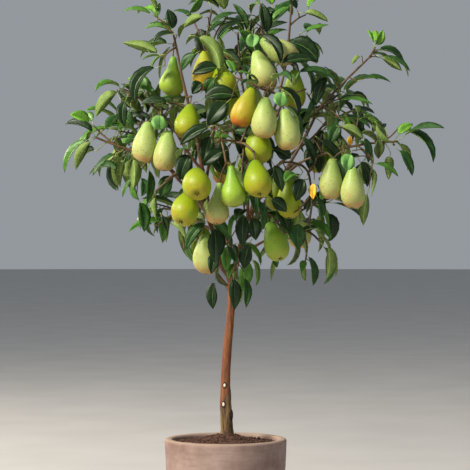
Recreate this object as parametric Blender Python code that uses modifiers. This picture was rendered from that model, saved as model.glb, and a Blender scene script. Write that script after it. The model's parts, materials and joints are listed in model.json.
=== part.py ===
"""A young pear tree in fruit, grown in a round terracotta pot.

Metres, +Z up. The origin is the middle of the pot's flat underside. The viewer stands on the -Y side.
The pot and its soil carry the trunk, the trunk carries the boughs, and each bough ends in one mass of
foliage: a stem with shoots and short spurs, leaves in rosettes, and pears that hang in ones and twos.
"""

import math
import random
from dataclasses import dataclass

import bmesh
import bpy
from mathutils import Quaternion, Vector
from mathutils.bvhtree import BVHTree

# The pot: a plain tapered cylinder with a rounded lip.
POT_RIM_RADIUS = 0.150
POT_FOOT_RADIUS = 0.137
POT_HEIGHT = 0.280
POT_WALL = 0.020
POT_FLOOR = 0.024
POT_SIDES = 32
LIP_ROUND = 0.007
FOOT_ROUND = 0.004
DRAIN_RADIUS = 0.007
DRAIN_RING = 0.055
DRAIN_COUNT = 3
DRAIN_SIDES = 8

# The soil stands a little below the rim and rises to the foot of the trunk.
SOIL_EDGE = POT_HEIGHT - 0.010
SOIL_TOP = POT_HEIGHT + 0.011
SOIL_CROWN_RADIUS = 0.030
SOIL_STEPS = (0.35, 0.70)

# Faces that touch on the real plant keep this much air. Points nearer than the weld become one.
CLEARANCE = 0.0003
WELD = 0.00001

# The trunk's middle line and radius, from the flat foot on the soil to the tip in the top foliage.
TRUNK_SIDES = 10
TRUNK_FOOT = SOIL_TOP + CLEARANCE
TRUNK_LINE = (
    (0.003, 0.000, TRUNK_FOOT, 0.0175),
    (0.003, 0.000, TRUNK_FOOT + 0.010, 0.0146),
    (0.002, 0.000, 0.336, 0.0156),
    (-0.001, 0.000, 0.363, 0.0148),
    (-0.001, 0.000, 0.390, 0.0117),
    (0.000, 0.001, 0.440, 0.0115),
    (0.004, 0.002, 0.500, 0.0112),
    (0.010, 0.002, 0.560, 0.0100),
    (0.014, 0.001, 0.610, 0.0092),
    (0.013, 0.000, 0.660, 0.0086),
    (0.034, 0.000, 0.741, 0.0076),
    (0.060, -0.003, 0.820, 0.0070),
    (0.076, -0.003, 0.880, 0.0064),
    (0.086, 0.000, 0.990, 0.0054),
    (0.098, 0.000, 1.105, 0.0044),
)

BOUGH_SIDES = 5
STEM_SIDES = 4
TWIG_SIDES = 3

# Linear colour and roughness of each kind of piece.
TERRACOTTA = ((0.50, 0.38, 0.33), 0.80)
DARK_SOIL = ((0.055, 0.032, 0.022), 0.95)
BARK = ((0.26, 0.13, 0.065), 0.75)
GREEN = ((0.10, 0.20, 0.045), 0.55)
SHARP_ANGLE = math.radians(40.0)


@dataclass(frozen=True)
class Bough:
    """One tapering limb: it leaves its parent at a height, runs through points and ends at the last."""

    name: str
    parent: str
    start: float
    line: tuple
    thick: float
    thin: float


BOUGHS = (
    Bough("bough_left", "trunk", 0.668,
          ((-0.016, -0.026, 0.715), (-0.034, -0.058, 0.810), (-0.052, -0.080, 0.910), (-0.066, -0.090, 0.999)),
          0.0066, 0.0046),
    Bough("bough_left_low", "bough_left", 0.850,
          ((-0.092, -0.085, 0.905), (-0.150, -0.095, 0.945)), 0.0040, 0.0028),
    Bough("bough_left_mid", "bough_left", 0.930,
          ((-0.096, -0.098, 0.985), (-0.122, -0.108, 1.030)), 0.0038, 0.0028),
    Bough("bough_top_left", "bough_left", 0.895,
          ((-0.036, -0.052, 0.980), (-0.028, -0.042, 1.060), (-0.032, -0.042, 1.110)), 0.0042, 0.0032),
    Bough("bough_right", "trunk", 0.790,
          ((0.100, -0.022, 0.862), (0.158, -0.040, 0.955), (0.200, -0.052, 1.030)), 0.0054, 0.0036),
    Bough("bough_right_low", "bough_right", 0.915,
          ((0.185, -0.070, 0.955), (0.235, -0.095, 0.972)), 0.0038, 0.0028),
    Bough("bough_front_high", "trunk", 0.975,
          ((0.115, -0.055, 1.045), (0.138, -0.125, 1.098)), 0.0040, 0.0030),
    Bough("bough_front", "trunk", 0.800,
          ((0.054, -0.060, 0.868), (0.052, -0.130, 0.940)), 0.0044, 0.0032),
    Bough("bough_front_left", "bough_left", 0.770,
          ((-0.048, -0.100, 0.832), (-0.066, -0.150, 0.900)), 0.0040, 0.0030),
    Bough("bough_front_right", "trunk", 0.845,
          ((0.110, -0.050, 0.898), (0.162, -0.098, 0.948)), 0.0042, 0.0030),
    Bough("bough_low_right", "trunk", 0.712,
          ((0.068, -0.030, 0.748), (0.112, -0.058, 0.772)), 0.0040, 0.0028),
    Bough("bough_low_left", "trunk", 0.640,
          ((-0.026, 0.004, 0.690), (-0.062, -0.026, 0.760)), 0.0042, 0.0030),
    Bough("bough_low_front", "trunk", 0.690,
          ((0.030, -0.045, 0.716), (0.024, -0.076, 0.730)), 0.0036, 0.0026),
    Bough("bough_top_right", "trunk", 1.020,
          ((0.122, -0.018, 1.095), (0.142, -0.028, 1.170)), 0.0036, 0.0030),
    Bough("bough_top_back", "trunk", 0.940,
          ((0.074, 0.055, 1.020), (0.050, 0.100, 1.110)), 0.0042, 0.0030),
    Bough("bough_back_left", "bough_left", 0.815,
          ((-0.085, -0.010, 0.880), (-0.135, 0.070, 0.935), (-0.165, 0.120, 0.985)), 0.0044, 0.0030),
    Bough("bough_back", "trunk", 0.860,
          ((0.060, 0.075, 0.925), (0.036, 0.165, 0.985)), 0.0046, 0.0032),
    Bough("bough_back_right", "trunk", 0.900,
          ((0.140, 0.060, 0.960), (0.215, 0.130, 1.020)), 0.0044, 0.0030),
    Bough("bough_back_low_left", "trunk", 0.725,
          ((-0.010, 0.070, 0.775), (-0.062, 0.140, 0.805)), 0.0042, 0.0030),
    Bough("bough_back_low_right", "trunk", 0.765,
          ((0.100, 0.070, 0.800), (0.165, 0.135, 0.825)), 0.0042, 0.0030),
)


@dataclass(frozen=True)
class Pear:
    """One pear: its middle, the way its foot leans in X and Y, and whether leaves keep out of its view."""

    x: float
    y: float
    z: float
    lean_x: float = 0.0
    lean_y: float = 0.0
    shown: bool = True

    def middle(self):
        return Vector((self.x, self.y, self.z))

    def axis(self):
        """Unit vector from the stalk to the foot of the pear."""
        drop = math.sqrt(1.0 - self.lean_x ** 2 - self.lean_y ** 2)
        return Vector((self.lean_x, self.lean_y, -drop))

    def along(self, place):
        """The point of the axis at a share of the length, from the end of the neck to the foot."""
        return self.middle() + self.axis() * (PEAR_LENGTH * (place - 0.5))

    def capsules(self):
        """The neck and the belly, as segments with a radius."""
        waist = self.along(0.48)
        return ((self.along(0.05), waist, PEAR_RADIUS * 0.5), (waist, self.along(0.70), PEAR_RADIUS))


@dataclass(frozen=True)
class Mass:
    """One mass of foliage: its bough, the line of its stem, its shoots (place on the stem and tip),
    its clusters of pears, and whether the stem shows bare from the front."""

    name: str
    bough: str
    stem: tuple
    shoots: tuple = ()
    clusters: tuple = ()
    bare: bool = False


MASSES = (
    Mass("foliage_top", "trunk",
         ((0.096, 0.000, 1.200), (0.088, 0.000, 1.290), (0.084, 0.002, 1.345)),
         ((0.30, (0.052, 0.045, 1.270)), (0.62, (0.120, 0.030, 1.330))),
         ((Pear(0.087, -0.140, 1.171, 0.33, -0.10), Pear(0.126, -0.100, 1.222, 0.84, -0.10, False)),)),
    Mass("foliage_top_left", "bough_top_left",
         ((-0.038, -0.042, 1.180), (-0.048, -0.044, 1.250), (-0.034, -0.040, 1.325)),
         ((0.50, (0.005, -0.030, 1.310)), (0.40, (-0.078, -0.020, 1.300))),
         ((Pear(-0.006, -0.100, 1.148, 0.20, -0.58), Pear(-0.059, -0.085, 1.158, 0.02, -0.10, False)),)),
    Mass("foliage_top_right", "bough_top_right",
         ((0.154, -0.032, 1.255), (0.160, -0.034, 1.340)),
         ((0.35, (0.200, -0.040, 1.262)), (0.70, (0.195, -0.020, 1.315))),
         ((Pear(0.166, -0.055, 1.130, 0.02, 0.00, False),),)),
    Mass("foliage_top_back", "bough_top_back",
         ((0.036, 0.130, 1.190), (0.030, 0.145, 1.290)),
         ((0.45, (-0.030, 0.150, 1.250)), (0.45, (0.095, 0.160, 1.235))),
         ((Pear(0.010, 0.175, 1.130, -0.10, 0.20), Pear(0.068, 0.185, 1.120, 0.12, 0.15)),)),
    Mass("foliage_left_top", "bough_left",
         ((-0.090, -0.090, 1.095), (-0.107, -0.090, 1.168), (-0.119, -0.090, 1.235), (-0.126, -0.090, 1.262)),
         ((0.97, (-0.163, -0.090, 1.300)), (0.72, (-0.147, -0.110, 1.205)), (0.42, (-0.150, -0.060, 1.110))),
         ((Pear(-0.130, -0.040, 1.163, -0.05, 0.05),), (Pear(-0.089, -0.150, 1.049, -0.10, -0.58),)),
         True),
    Mass("foliage_left_mid", "bough_left_mid",
         ((-0.160, -0.120, 1.078), (-0.210, -0.120, 1.108), (-0.246, -0.112, 1.124)),
         ((0.40, (-0.190, -0.060, 1.120)),),
         ((Pear(-0.191, -0.160, 0.998, -0.12, -0.05), Pear(-0.140, -0.180, 0.976, -0.10, -0.10)),)),
    Mass("foliage_left_low", "bough_left_low",
         ((-0.200, -0.100, 0.975), (-0.256, -0.100, 0.990), (-0.312, -0.100, 1.012)),
         ((0.70, (-0.318, -0.080, 1.042)), (0.20, (-0.205, -0.115, 0.885)), (0.35, (-0.255, -0.040, 0.985)))),
    Mass("foliage_right", "bough_right",
         ((0.226, -0.058, 1.085), (0.290, -0.060, 1.152), (0.352, -0.060, 1.212)),
         ((0.22, (0.195, -0.090, 1.120)), (0.30, (0.280, -0.030, 1.110)), (0.97, (0.362, -0.065, 1.232))),
         (), True),
    Mass("foliage_right_low", "bough_right_low",
         ((0.300, -0.105, 0.990), (0.350, -0.110, 0.998), (0.412, -0.110, 1.002)),
         ((0.30, (0.318, -0.100, 1.060)), (0.80, (0.415, -0.100, 1.035)), (0.45, (0.350, -0.150, 0.950))),
         ((Pear(0.299, -0.220, 0.888, -0.03, 0.0), Pear(0.249, -0.200, 0.909, -0.06, 0.0)),)),
    Mass("foliage_front_high", "bough_front_high",
         ((0.133, -0.180, 1.135), (0.100, -0.222, 1.158), (0.060, -0.235, 1.165)),
         ((0.25, (0.190, -0.205, 1.130)), (0.60, (0.070, -0.190, 1.210))),
         ((Pear(0.049, -0.225, 1.075, -0.40, -0.10), Pear(0.091, -0.255, 1.049, -0.03, -0.05),
           Pear(0.144, -0.240, 1.023, 0.10, -0.05)),)),
    Mass("foliage_front", "bough_front",
         ((0.046, -0.175, 0.985), (0.020, -0.215, 1.000), (-0.020, -0.235, 0.998)),
         ((0.55, (0.100, -0.190, 0.985)), (0.35, (0.045, -0.205, 0.830)), (0.30, (0.010, -0.150, 1.040))),
         ((Pear(0.075, -0.320, 0.971, 0.02, -0.72), Pear(0.074, -0.285, 0.907, 0.10, -0.50)),
          (Pear(0.018, -0.275, 0.890, 0.02, -0.10), Pear(-0.018, -0.235, 0.851, -0.08, -0.10)))),
    Mass("foliage_front_left", "bough_front_left",
         ((-0.084, -0.195, 0.955), (-0.122, -0.222, 0.965), (-0.158, -0.235, 0.940)),
         ((0.55, (-0.150, -0.190, 0.905)), (0.30, (-0.098, -0.190, 1.010)), (0.20, (-0.040, -0.190, 0.860))),
         ((Pear(-0.066, -0.270, 0.898, 0.05, -0.72), Pear(-0.093, -0.285, 0.837, -0.05, -0.66)),)),
    Mass("foliage_front_right", "bough_front_right",
         ((0.198, -0.140, 0.932), (0.206, -0.178, 0.860), (0.196, -0.198, 0.800)),
         ((0.35, (0.215, -0.195, 0.960)), (0.60, (0.160, -0.215, 0.830))),
         ((Pear(0.124, -0.100, 0.886, 0.0, 0.0, False), Pear(0.150, -0.175, 0.865, 0.03, -0.05, False)),)),
    Mass("foliage_low_right", "bough_low_right",
         ((0.158, -0.085, 0.788), (0.202, -0.110, 0.788), (0.224, -0.120, 0.764)),
         ((0.55, (0.190, -0.130, 0.712)), (0.20, (0.150, -0.040, 0.740))),
         ((Pear(0.118, -0.145, 0.764, 0.28, -0.28),),)),
    Mass("foliage_low_left", "bough_low_left",
         ((-0.090, -0.052, 0.812), (-0.130, -0.078, 0.828), (-0.165, -0.095, 0.800)),
         ((0.40, (-0.098, -0.080, 0.742)),),
         ((Pear(-0.049, -0.105, 0.732, 0.05, -0.05, False),),)),
    Mass("foliage_low_front", "bough_low_front",
         ((0.018, -0.105, 0.752), (0.004, -0.135, 0.758)),
         ((0.40, (0.058, -0.120, 0.730)), (0.25, (-0.020, -0.090, 0.700)), (0.60, (0.028, -0.145, 0.710)))),
    Mass("foliage_back_left", "bough_back_left",
         ((-0.205, 0.175, 1.035), (-0.240, 0.215, 1.085)),
         ((0.30, (-0.270, 0.120, 1.040)), (0.45, (-0.170, 0.215, 1.100))),
         ((Pear(-0.225, 0.190, 0.950, -0.08, 0.10),),)),
    Mass("foliage_back", "bough_back",
         ((0.026, 0.225, 1.035), (0.020, 0.270, 1.085)),
         ((0.30, (-0.050, 0.225, 1.060)), (0.45, (0.100, 0.240, 1.060))),
         ((Pear(-0.005, 0.255, 0.955, -0.10, 0.15), Pear(0.050, 0.250, 0.935, 0.12, 0.10)),)),
    Mass("foliage_back_right", "bough_back_right",
         ((0.262, 0.175, 1.075), (0.300, 0.210, 1.130)),
         ((0.30, (0.315, 0.110, 1.090)), (0.50, (0.225, 0.230, 1.130))),
         ((Pear(0.238, 0.205, 0.985, 0.0, 0.12), Pear(0.290, 0.170, 0.975, 0.15, 0.05)),)),
    Mass("foliage_back_low_left", "bough_back_low_left",
         ((-0.110, 0.190, 0.840), (-0.160, 0.215, 0.845)),
         ((0.30, (-0.060, 0.225, 0.860)), (0.50, (-0.190, 0.150, 0.860))),
         ((Pear(-0.120, 0.215, 0.752, -0.05, 0.12),),)),
    Mass("foliage_back_low_right", "bough_back_low_right",
         ((0.215, 0.180, 0.855), (0.262, 0.205, 0.862)),
         ((0.30, (0.130, 0.215, 0.870)), (0.50, (0.290, 0.130, 0.880))),
         ((Pear(0.215, 0.205, 0.765, 0.05, 0.12),),)),
)

# Fruit: a necked pear on a woody stalk.
PEAR_LENGTH = 0.098
PEAR_RADIUS = 0.030
PEAR_SIDES = 7
PEAR_RINGS = 5
STALK_LENGTH = 0.026
STALK_RADIUS = 0.0015
# Places down the pear, from neck to foot, and the share of the full radius there.
PEAR_SHAPE = ((0.00, 0.10), (0.14, 0.28), (0.44, 0.62), (0.74, 1.00), (0.95, 0.62), (0.985, 0.10))

# Leaves: a pear leaf with its stalk, arched over and folded a little along its midrib.
LEAF_LENGTH = 0.114
LEAF_WIDTH = 0.038
LEAF_DEPTH = 0.0040
LEAF_WIDEST = 0.56
PETIOLE_RADIUS = 0.0007
ROSETTE_LEAVES = 3
TIP_LEAVES = 3
SHOOT_LEAF_SPACING = 0.034
SPUR_SPACING = 0.062
SPUR_LENGTH = (0.012, 0.032)
SPUR_RADIUS = 0.0019
SPUR_ANGLE = 1.0
SHOOT_RADIUS = (0.0025, 0.0019)
STEM_TIP_RADIUS = 0.0026
LEAF_TRIES = 12
GOLDEN_TURN = math.radians(137.5)
# Each leaf of a rosette is rooted a step behind the last one, and the root is the share that may touch.
ROSETTE_STEP = 0.0035
ROOT_SHARE = 0.07
# Angle between a twig and the leaves round its end, for the first leaf and for each one behind it.
FIRST_SPREAD = 0.55
MORE_SPREAD = 0.25
SHOOT_SPREAD = 1.0
# How much leaves differ: turn and spread, upward part of the heading low and high in the crown,
# shares of the full length and width, bend in radians from root to tip, and twist.
TURN_PLAY = 0.3
SPREAD_PLAY = 0.2
LOW_RISE = (-0.55, -0.10)
HIGH_RISE = (0.05, 0.50)
LENGTH_PLAY = (0.82, 1.12)
WIDTH_PLAY = (0.85, 1.12)
BEND = (0.7, 1.7)
TWIST = 0.9
# The share of the twist that a leaf has at its root.
ROOT_TWIST = 0.35
NEXT_TURN = 0.9
# A stem goes straight on from its bough, and shoots and stalks bow by a share of their length.
STRAIGHT_START = 0.012
BOW = 0.12
# Spurs with fruit leave the stem past its first part, at one of so many places.
FIRST_PLACE = 0.2
PLACES = 20
STALK_SINK = 0.06
SPUR_LEAVES = 3
# A twig's heading at a place is taken between two places this share of its length before and after.
NEAR = 0.05

# Room that growth keeps: to the next mass, to a limb, to a pear, and between the middles of leaves,
# which stand further apart behind the trunk, where fewer pears take up room.
SPACE_GAP = 0.003
LIMB_GAP = 0.007
FRUIT_GAP = 0.003
REGION_FRUIT_RADIUS = 0.014
LEAF_PITCH = 0.024
BACK_PITCH = 0.044
VIEW_DEPTH = 0.25
VIEW_RADIUS = 0.017
BARE_RADIUS = 0.010
CROWN_FLOOR = 0.600
CROWN_LOW = 0.70
CROWN_HIGH = 1.15
SEED = 41

TREE = "potted_pear_tree"
UP = Vector((0.0, 0.0, 1.0))
TOWARDS_VIEWER = Vector((0.0, -1.0, 0.0))


def clear_scene():
    """Remove every object, so that the script can be run again."""
    for item in list(bpy.data.objects):
        bpy.data.objects.remove(item, do_unlink=True)


def new_collection(name):
    """A collection of that name, linked to the scene."""
    collection = bpy.data.collections.new(name)
    bpy.context.scene.collection.children.link(collection)
    return collection


def paint(item, finish):
    """Give an object a material of its own, with one colour and roughness, and smooth shading."""
    colour, roughness = finish
    material = bpy.data.materials.new(item.name)
    material.use_nodes = True
    shader = material.node_tree.nodes["Principled BSDF"]
    shader.inputs["Base Color"].default_value = (*colour, 1.0)
    shader.inputs["Roughness"].default_value = roughness
    shader.inputs["Metallic"].default_value = 0.0
    material.diffuse_color = (*colour, 1.0)
    item.data.materials.clear()
    item.data.materials.append(material)
    item.data.shade_smooth()
    item.data.set_sharp_from_angle(angle=SHARP_ANGLE)


def object_from_mesh(name, mesh, collection):
    """An object for a mesh, in a collection."""
    item = bpy.data.objects.new(name, mesh)
    collection.objects.link(item)
    return item


def arc(middle, radius, start, end, steps):
    """Points of an arc in the plane of a turned profile, angles in degrees."""
    points = []
    for step in range(steps + 1):
        angle = math.radians(start + (end - start) * step / steps)
        points.append((middle[0] + radius * math.cos(angle), middle[1] + radius * math.sin(angle)))
    return points


def turned(name, profile, sides, collection):
    """A solid of revolution: a profile of (radius, height) points with a Screw modifier."""
    mesh = bpy.data.meshes.new(name)
    points = [(radius, 0.0, height) for radius, height in profile]
    edges = [(index, index + 1) for index in range(len(points) - 1)]
    mesh.from_pydata(points, edges, [])
    item = object_from_mesh(name, mesh, collection)
    screw = item.modifiers.new("turn", "SCREW")
    screw.steps = sides
    screw.render_steps = sides
    screw.use_merge_vertices = True
    screw.merge_threshold = 0.0001
    screw.use_smooth_shade = True
    return item


def wall_radius(height):
    """Outer radius of the pot's side at a height."""
    return POT_FOOT_RADIUS + (POT_RIM_RADIUS - POT_FOOT_RADIUS) * height / POT_HEIGHT


def make_pot(collection, cutters):
    """The pot: floor, inner wall, rounded lip, outer side and foot, with drain holes round its middle."""
    lip = POT_HEIGHT - LIP_ROUND
    profile = [(0.0, POT_FLOOR), (wall_radius(POT_FLOOR) - POT_WALL, POT_FLOOR)]
    profile += arc((POT_RIM_RADIUS - POT_WALL + LIP_ROUND, lip), LIP_ROUND, 180, 90, 2)
    profile += arc((POT_RIM_RADIUS - LIP_ROUND, lip), LIP_ROUND, 90, 0, 2)
    profile += arc((POT_FOOT_RADIUS - FOOT_ROUND, FOOT_ROUND), FOOT_ROUND, 0, -90, 1)
    profile.append((0.0, 0.0))
    pot = turned("pot", profile, POT_SIDES, collection)
    for index in range(DRAIN_COUNT):
        angle = 2.0 * math.pi * index / DRAIN_COUNT + math.pi / POT_SIDES
        mesh = bpy.data.meshes.new("drain")
        shape = bmesh.new()
        bmesh.ops.create_cone(shape, cap_ends=True, segments=DRAIN_SIDES, radius1=DRAIN_RADIUS,
                              radius2=DRAIN_RADIUS, depth=3.0 * POT_FLOOR)
        shape.to_mesh(mesh)
        shape.free()
        drain = object_from_mesh("drain_cutter_%d" % index, mesh, cutters)
        drain.location = (DRAIN_RING * math.cos(angle), DRAIN_RING * math.sin(angle), POT_FLOOR / 2.0)
        cut(pot, drain)
    paint(pot, TERRACOTTA)


def make_soil(collection):
    """The potting soil: it fills the pot from the floor and is mounded to the trunk."""
    bottom = POT_FLOOR + CLEARANCE
    edge_radius = wall_radius(SOIL_EDGE) - POT_WALL - CLEARANCE
    bottom_radius = wall_radius(POT_FLOOR) - POT_WALL - CLEARANCE
    profile = [(0.0, SOIL_TOP), (SOIL_CROWN_RADIUS, SOIL_TOP)]
    for share in SOIL_STEPS:
        radius = SOIL_CROWN_RADIUS + share * (edge_radius - SOIL_CROWN_RADIUS)
        fall = 0.5 - 0.5 * math.cos(math.pi * share)
        profile.append((radius, SOIL_TOP + (SOIL_EDGE - SOIL_TOP) * fall))
    profile += [(edge_radius, SOIL_EDGE), (bottom_radius, bottom), (0.0, bottom)]
    soil = turned("soil", profile, POT_SIDES, collection)
    paint(soil, DARK_SOIL)


def cut(item, cutter):
    """Take a cutter's shape out of an object."""
    cutter.hide_render = True
    cutter.display_type = "WIRE"
    modifier = item.modifiers.new("cut_" + cutter.name, "BOOLEAN")
    modifier.operation = "DIFFERENCE"
    modifier.solver = "EXACT"
    modifier.object = cutter


def flow(points, per_span):
    """A smooth line through points of (x, y, z, radius), with some more on each span."""
    knots = [Vector(point) for point in points]
    knots = [2.0 * knots[0] - knots[1]] + knots + [2.0 * knots[-1] - knots[-2]]
    line = []
    for index in range(1, len(knots) - 2):
        before, start, end, after = knots[index - 1:index + 3]
        for step in range(per_span):
            t = step / per_span
            line.append(0.5 * (2.0 * start + (end - before) * t
                               + (2.0 * before - 5.0 * start + 4.0 * end - after) * t ** 2
                               + (3.0 * start - before - 3.0 * end + after) * t ** 3))
    line.append(knots[-2])
    return line


def tapered(points, thick, thin):
    """Give each point of a line a radius that falls evenly along its length."""
    points = [Vector(point) for point in points]
    reach = [0.0]
    for index in range(1, len(points)):
        reach.append(reach[-1] + (points[index] - points[index - 1]).length)
    return [(*point, thick + (thin - thick) * far / reach[-1]) for point, far in zip(points, reach)]


def tube_mesh(name, line, sides, extra=0.0):
    """A tapering limb along a line, from a curve with a many-sided section, as a closed mesh."""
    section = bpy.data.curves.new("section", "CURVE")
    section.dimensions = "2D"
    ring = section.splines.new("POLY")
    ring.points.add(sides - 1)
    for index in range(sides):
        angle = 2.0 * math.pi * index / sides
        ring.points[index].co = (math.cos(angle), math.sin(angle), 0.0, 1.0)
    ring.use_cyclic_u = True
    section_item = object_from_mesh("section", section, bpy.context.scene.collection)
    curve = bpy.data.curves.new(name, "CURVE")
    curve.dimensions = "3D"
    curve.twist_mode = "MINIMUM"
    curve.bevel_mode = "OBJECT"
    curve.bevel_object = section_item
    curve.use_fill_caps = True
    spline = curve.splines.new("POLY")
    spline.points.add(len(line) - 1)
    for point, station in zip(spline.points, line):
        point.co = (station[0], station[1], station[2], 1.0)
        point.radius = station[3] + extra
    curve_item = object_from_mesh(name, curve, bpy.context.scene.collection)
    mesh = bpy.data.meshes.new_from_object(curve_item.evaluated_get(bpy.context.evaluated_depsgraph_get()))
    bpy.data.objects.remove(curve_item, do_unlink=True)
    bpy.data.objects.remove(section_item, do_unlink=True)
    shape = bmesh.new()
    shape.from_mesh(mesh)
    bmesh.ops.remove_doubles(shape, verts=shape.verts, dist=WELD)
    bpy.data.meshes.remove(mesh)
    return closed_mesh(name, shape)


def closed_mesh(name, shape):
    """The mesh of a closed shape, in flat triangles that face out of it."""
    bmesh.ops.triangulate(shape, faces=shape.faces)
    bmesh.ops.recalc_face_normals(shape, faces=shape.faces)
    if shape.calc_volume(signed=True) < 0.0:
        bmesh.ops.reverse_faces(shape, faces=shape.faces)
    mesh = bpy.data.meshes.new(name)
    shape.to_mesh(mesh)
    shape.free()
    return mesh


def at_height(line, height):
    """The point of a rising line at a height."""
    for low, high in zip(line, line[1:]):
        if low[2] <= height <= high[2]:
            share = (height - low[2]) / (high[2] - low[2])
            return Vector(low[:3]).lerp(Vector(high[:3]), share)
    raise ValueError("no point at height %.3f" % height)


def make_limbs(collection, cutters):
    """The trunk and boughs. Each bough is cut free of its parent. Returns the line of each limb."""
    lines = {"trunk": flow(TRUNK_LINE, 1)}
    sides = {"trunk": TRUNK_SIDES}
    trunk = object_from_mesh("trunk", tube_mesh("trunk", lines["trunk"], TRUNK_SIDES), collection)
    paint(trunk, BARK)
    parents = {}
    for bough in BOUGHS:
        root = at_height(lines[bough.parent], bough.start)
        line = flow(tapered((root, *bough.line), bough.thick, bough.thin), 2)
        lines[bough.name] = line
        sides[bough.name] = BOUGH_SIDES
        item = object_from_mesh(bough.name, tube_mesh(bough.name, line, BOUGH_SIDES), collection)
        paint(item, BARK)
        if bough.parent not in parents:
            extra = CLEARANCE / math.cos(math.pi / sides[bough.parent])
            mesh = tube_mesh(bough.parent, lines[bough.parent], sides[bough.parent], extra)
            parents[bough.parent] = object_from_mesh(bough.parent + "_cutter", mesh, cutters)
        cut(item, parents[bough.parent])
    return lines


def gap_to_segment(point, start, end):
    """Distance from a point to a segment."""
    along = end - start
    share = (point - start).dot(along) / along.length_squared
    share = min(1.0, max(0.0, share))
    return (point - start - along * share).length


class Crown:
    """The lines and fruit that share out the crown's room among its masses."""

    def __init__(self, limb_lines):
        self.limbs = []
        for line in limb_lines.values():
            for low, high in zip(line, line[1:]):
                self.limbs.append((Vector(low[:3]), Vector(high[:3]), max(low[3], high[3])))
        self.tips = {name: line[-1] for name, line in limb_lines.items()}
        self.ends = {name: end_direction(line) for name, line in limb_lines.items()}
        self.stems = {mass.name: self.stem_line(mass) for mass in MASSES}
        self.shoots = {mass.name: self.shoot_lines(mass) for mass in MASSES}
        self.regions = {mass.name: self.region(mass) for mass in MASSES}
        self.fruit = []
        self.views = []
        for mass in MASSES:
            for cluster in mass.clusters:
                for pear in cluster:
                    self.fruit.extend(pear.capsules())
                    if pear.shown:
                        way = TOWARDS_VIEWER if pear.y < 0.0 else -TOWARDS_VIEWER
                        self.views.append((pear.along(0.3), pear.along(0.7), way, VIEW_RADIUS))
            if mass.bare:
                line = self.stems[mass.name]
                for low, high in zip(line, line[1:]):
                    self.views.append((Vector(low[:3]), Vector(high[:3]), TOWARDS_VIEWER, BARE_RADIUS))

    def stem_line(self, mass):
        """The stem goes on from the tip of its bough, with a small gap and the same heading."""
        tip = self.tips[mass.bough]
        heading = self.ends[mass.bough]
        start = Vector(tip[:3]) + heading * CLEARANCE
        return tapered((start, start + heading * STRAIGHT_START, *mass.stem), tip[3], STEM_TIP_RADIUS)

    def shoot_lines(self, mass):
        """Each shoot leaves the stem at its place and bows to its tip."""
        stem = self.stems[mass.name]
        lines = []
        for place, tip in mass.shoots:
            root = along(stem, place)
            tip = Vector(tip)
            bow = root.lerp(tip, 0.5) + heading_at(stem, place) * BOW * (tip - root).length
            lines.append(tapered((root, bow, tip), *SHOOT_RADIUS))
        return lines

    def region(self, mass):
        """Segments with a radius that the mass grows round: its stem, its shoots and its pears."""
        parts = []
        for line in (self.stems[mass.name], *self.shoots[mass.name]):
            for low, high in zip(line, line[1:]):
                parts.append((Vector(low[:3]), Vector(high[:3]), 0.0))
        for cluster in mass.clusters:
            for pear in cluster:
                parts.append((pear.along(0.0), pear.along(0.8), REGION_FRUIT_RADIUS))
        return parts

    def room(self, point, name):
        """How much nearer a point is to its own mass than to the next one."""
        own = min(gap_to_segment(point, start, end) - radius for start, end, radius in self.regions[name])
        other = math.inf
        for key, parts in self.regions.items():
            if key != name:
                for start, end, radius in parts:
                    other = min(other, gap_to_segment(point, start, end) - radius)
        return other - own

    def free(self, point, name, gap):
        """Whether a point of a leaf or twig is clear of limbs and pears and in its own mass's space."""
        if point.z < CROWN_FLOOR:
            return False
        for start, end, radius in self.limbs:
            if gap_to_segment(point, start, end) < radius + gap:
                return False
        for start, end, radius in self.fruit:
            if gap_to_segment(point, start, end) < radius + FRUIT_GAP:
                return False
        for start, end, way, radius in self.views:
            depth = (point - start).dot(way)
            if 0.0 < depth < VIEW_DEPTH:
                flat = point - way * point.dot(way)
                low = start - way * start.dot(way)
                high = end - way * end.dot(way)
                if gap_to_segment(flat, low, high) < radius:
                    return False
        return self.room(point, name) > SPACE_GAP


def end_direction(line):
    """Unit vector along the last stretch of a line."""
    return (Vector(line[-1][:3]) - Vector(line[-2][:3])).normalized()


def along(line, share):
    """The point at a share of a line's stations."""
    place = share * (len(line) - 1)
    index = min(int(place), len(line) - 2)
    return Vector(line[index][:3]).lerp(Vector(line[index + 1][:3]), place - index)


def heading_at(line, share):
    """Unit vector along a line at a share of its stations."""
    return (along(line, min(1.0, share + NEAR)) - along(line, max(0.0, share - NEAR))).normalized()


def line_length(line):
    """Length of a line of stations."""
    return sum((Vector(high[:3]) - Vector(low[:3])).length for low, high in zip(line, line[1:]))


def heading_off(axis, turn, spread):
    """Unit vector that leaves an axis at an angle, turned round it."""
    side = axis.cross(UP)
    if side.length < 0.1:
        side = axis.cross(Vector((0.0, 1.0, 0.0)))
    side = Quaternion(axis, turn) @ side.normalized()
    return (axis * math.cos(spread) + side * math.sin(spread)).normalized()


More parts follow.
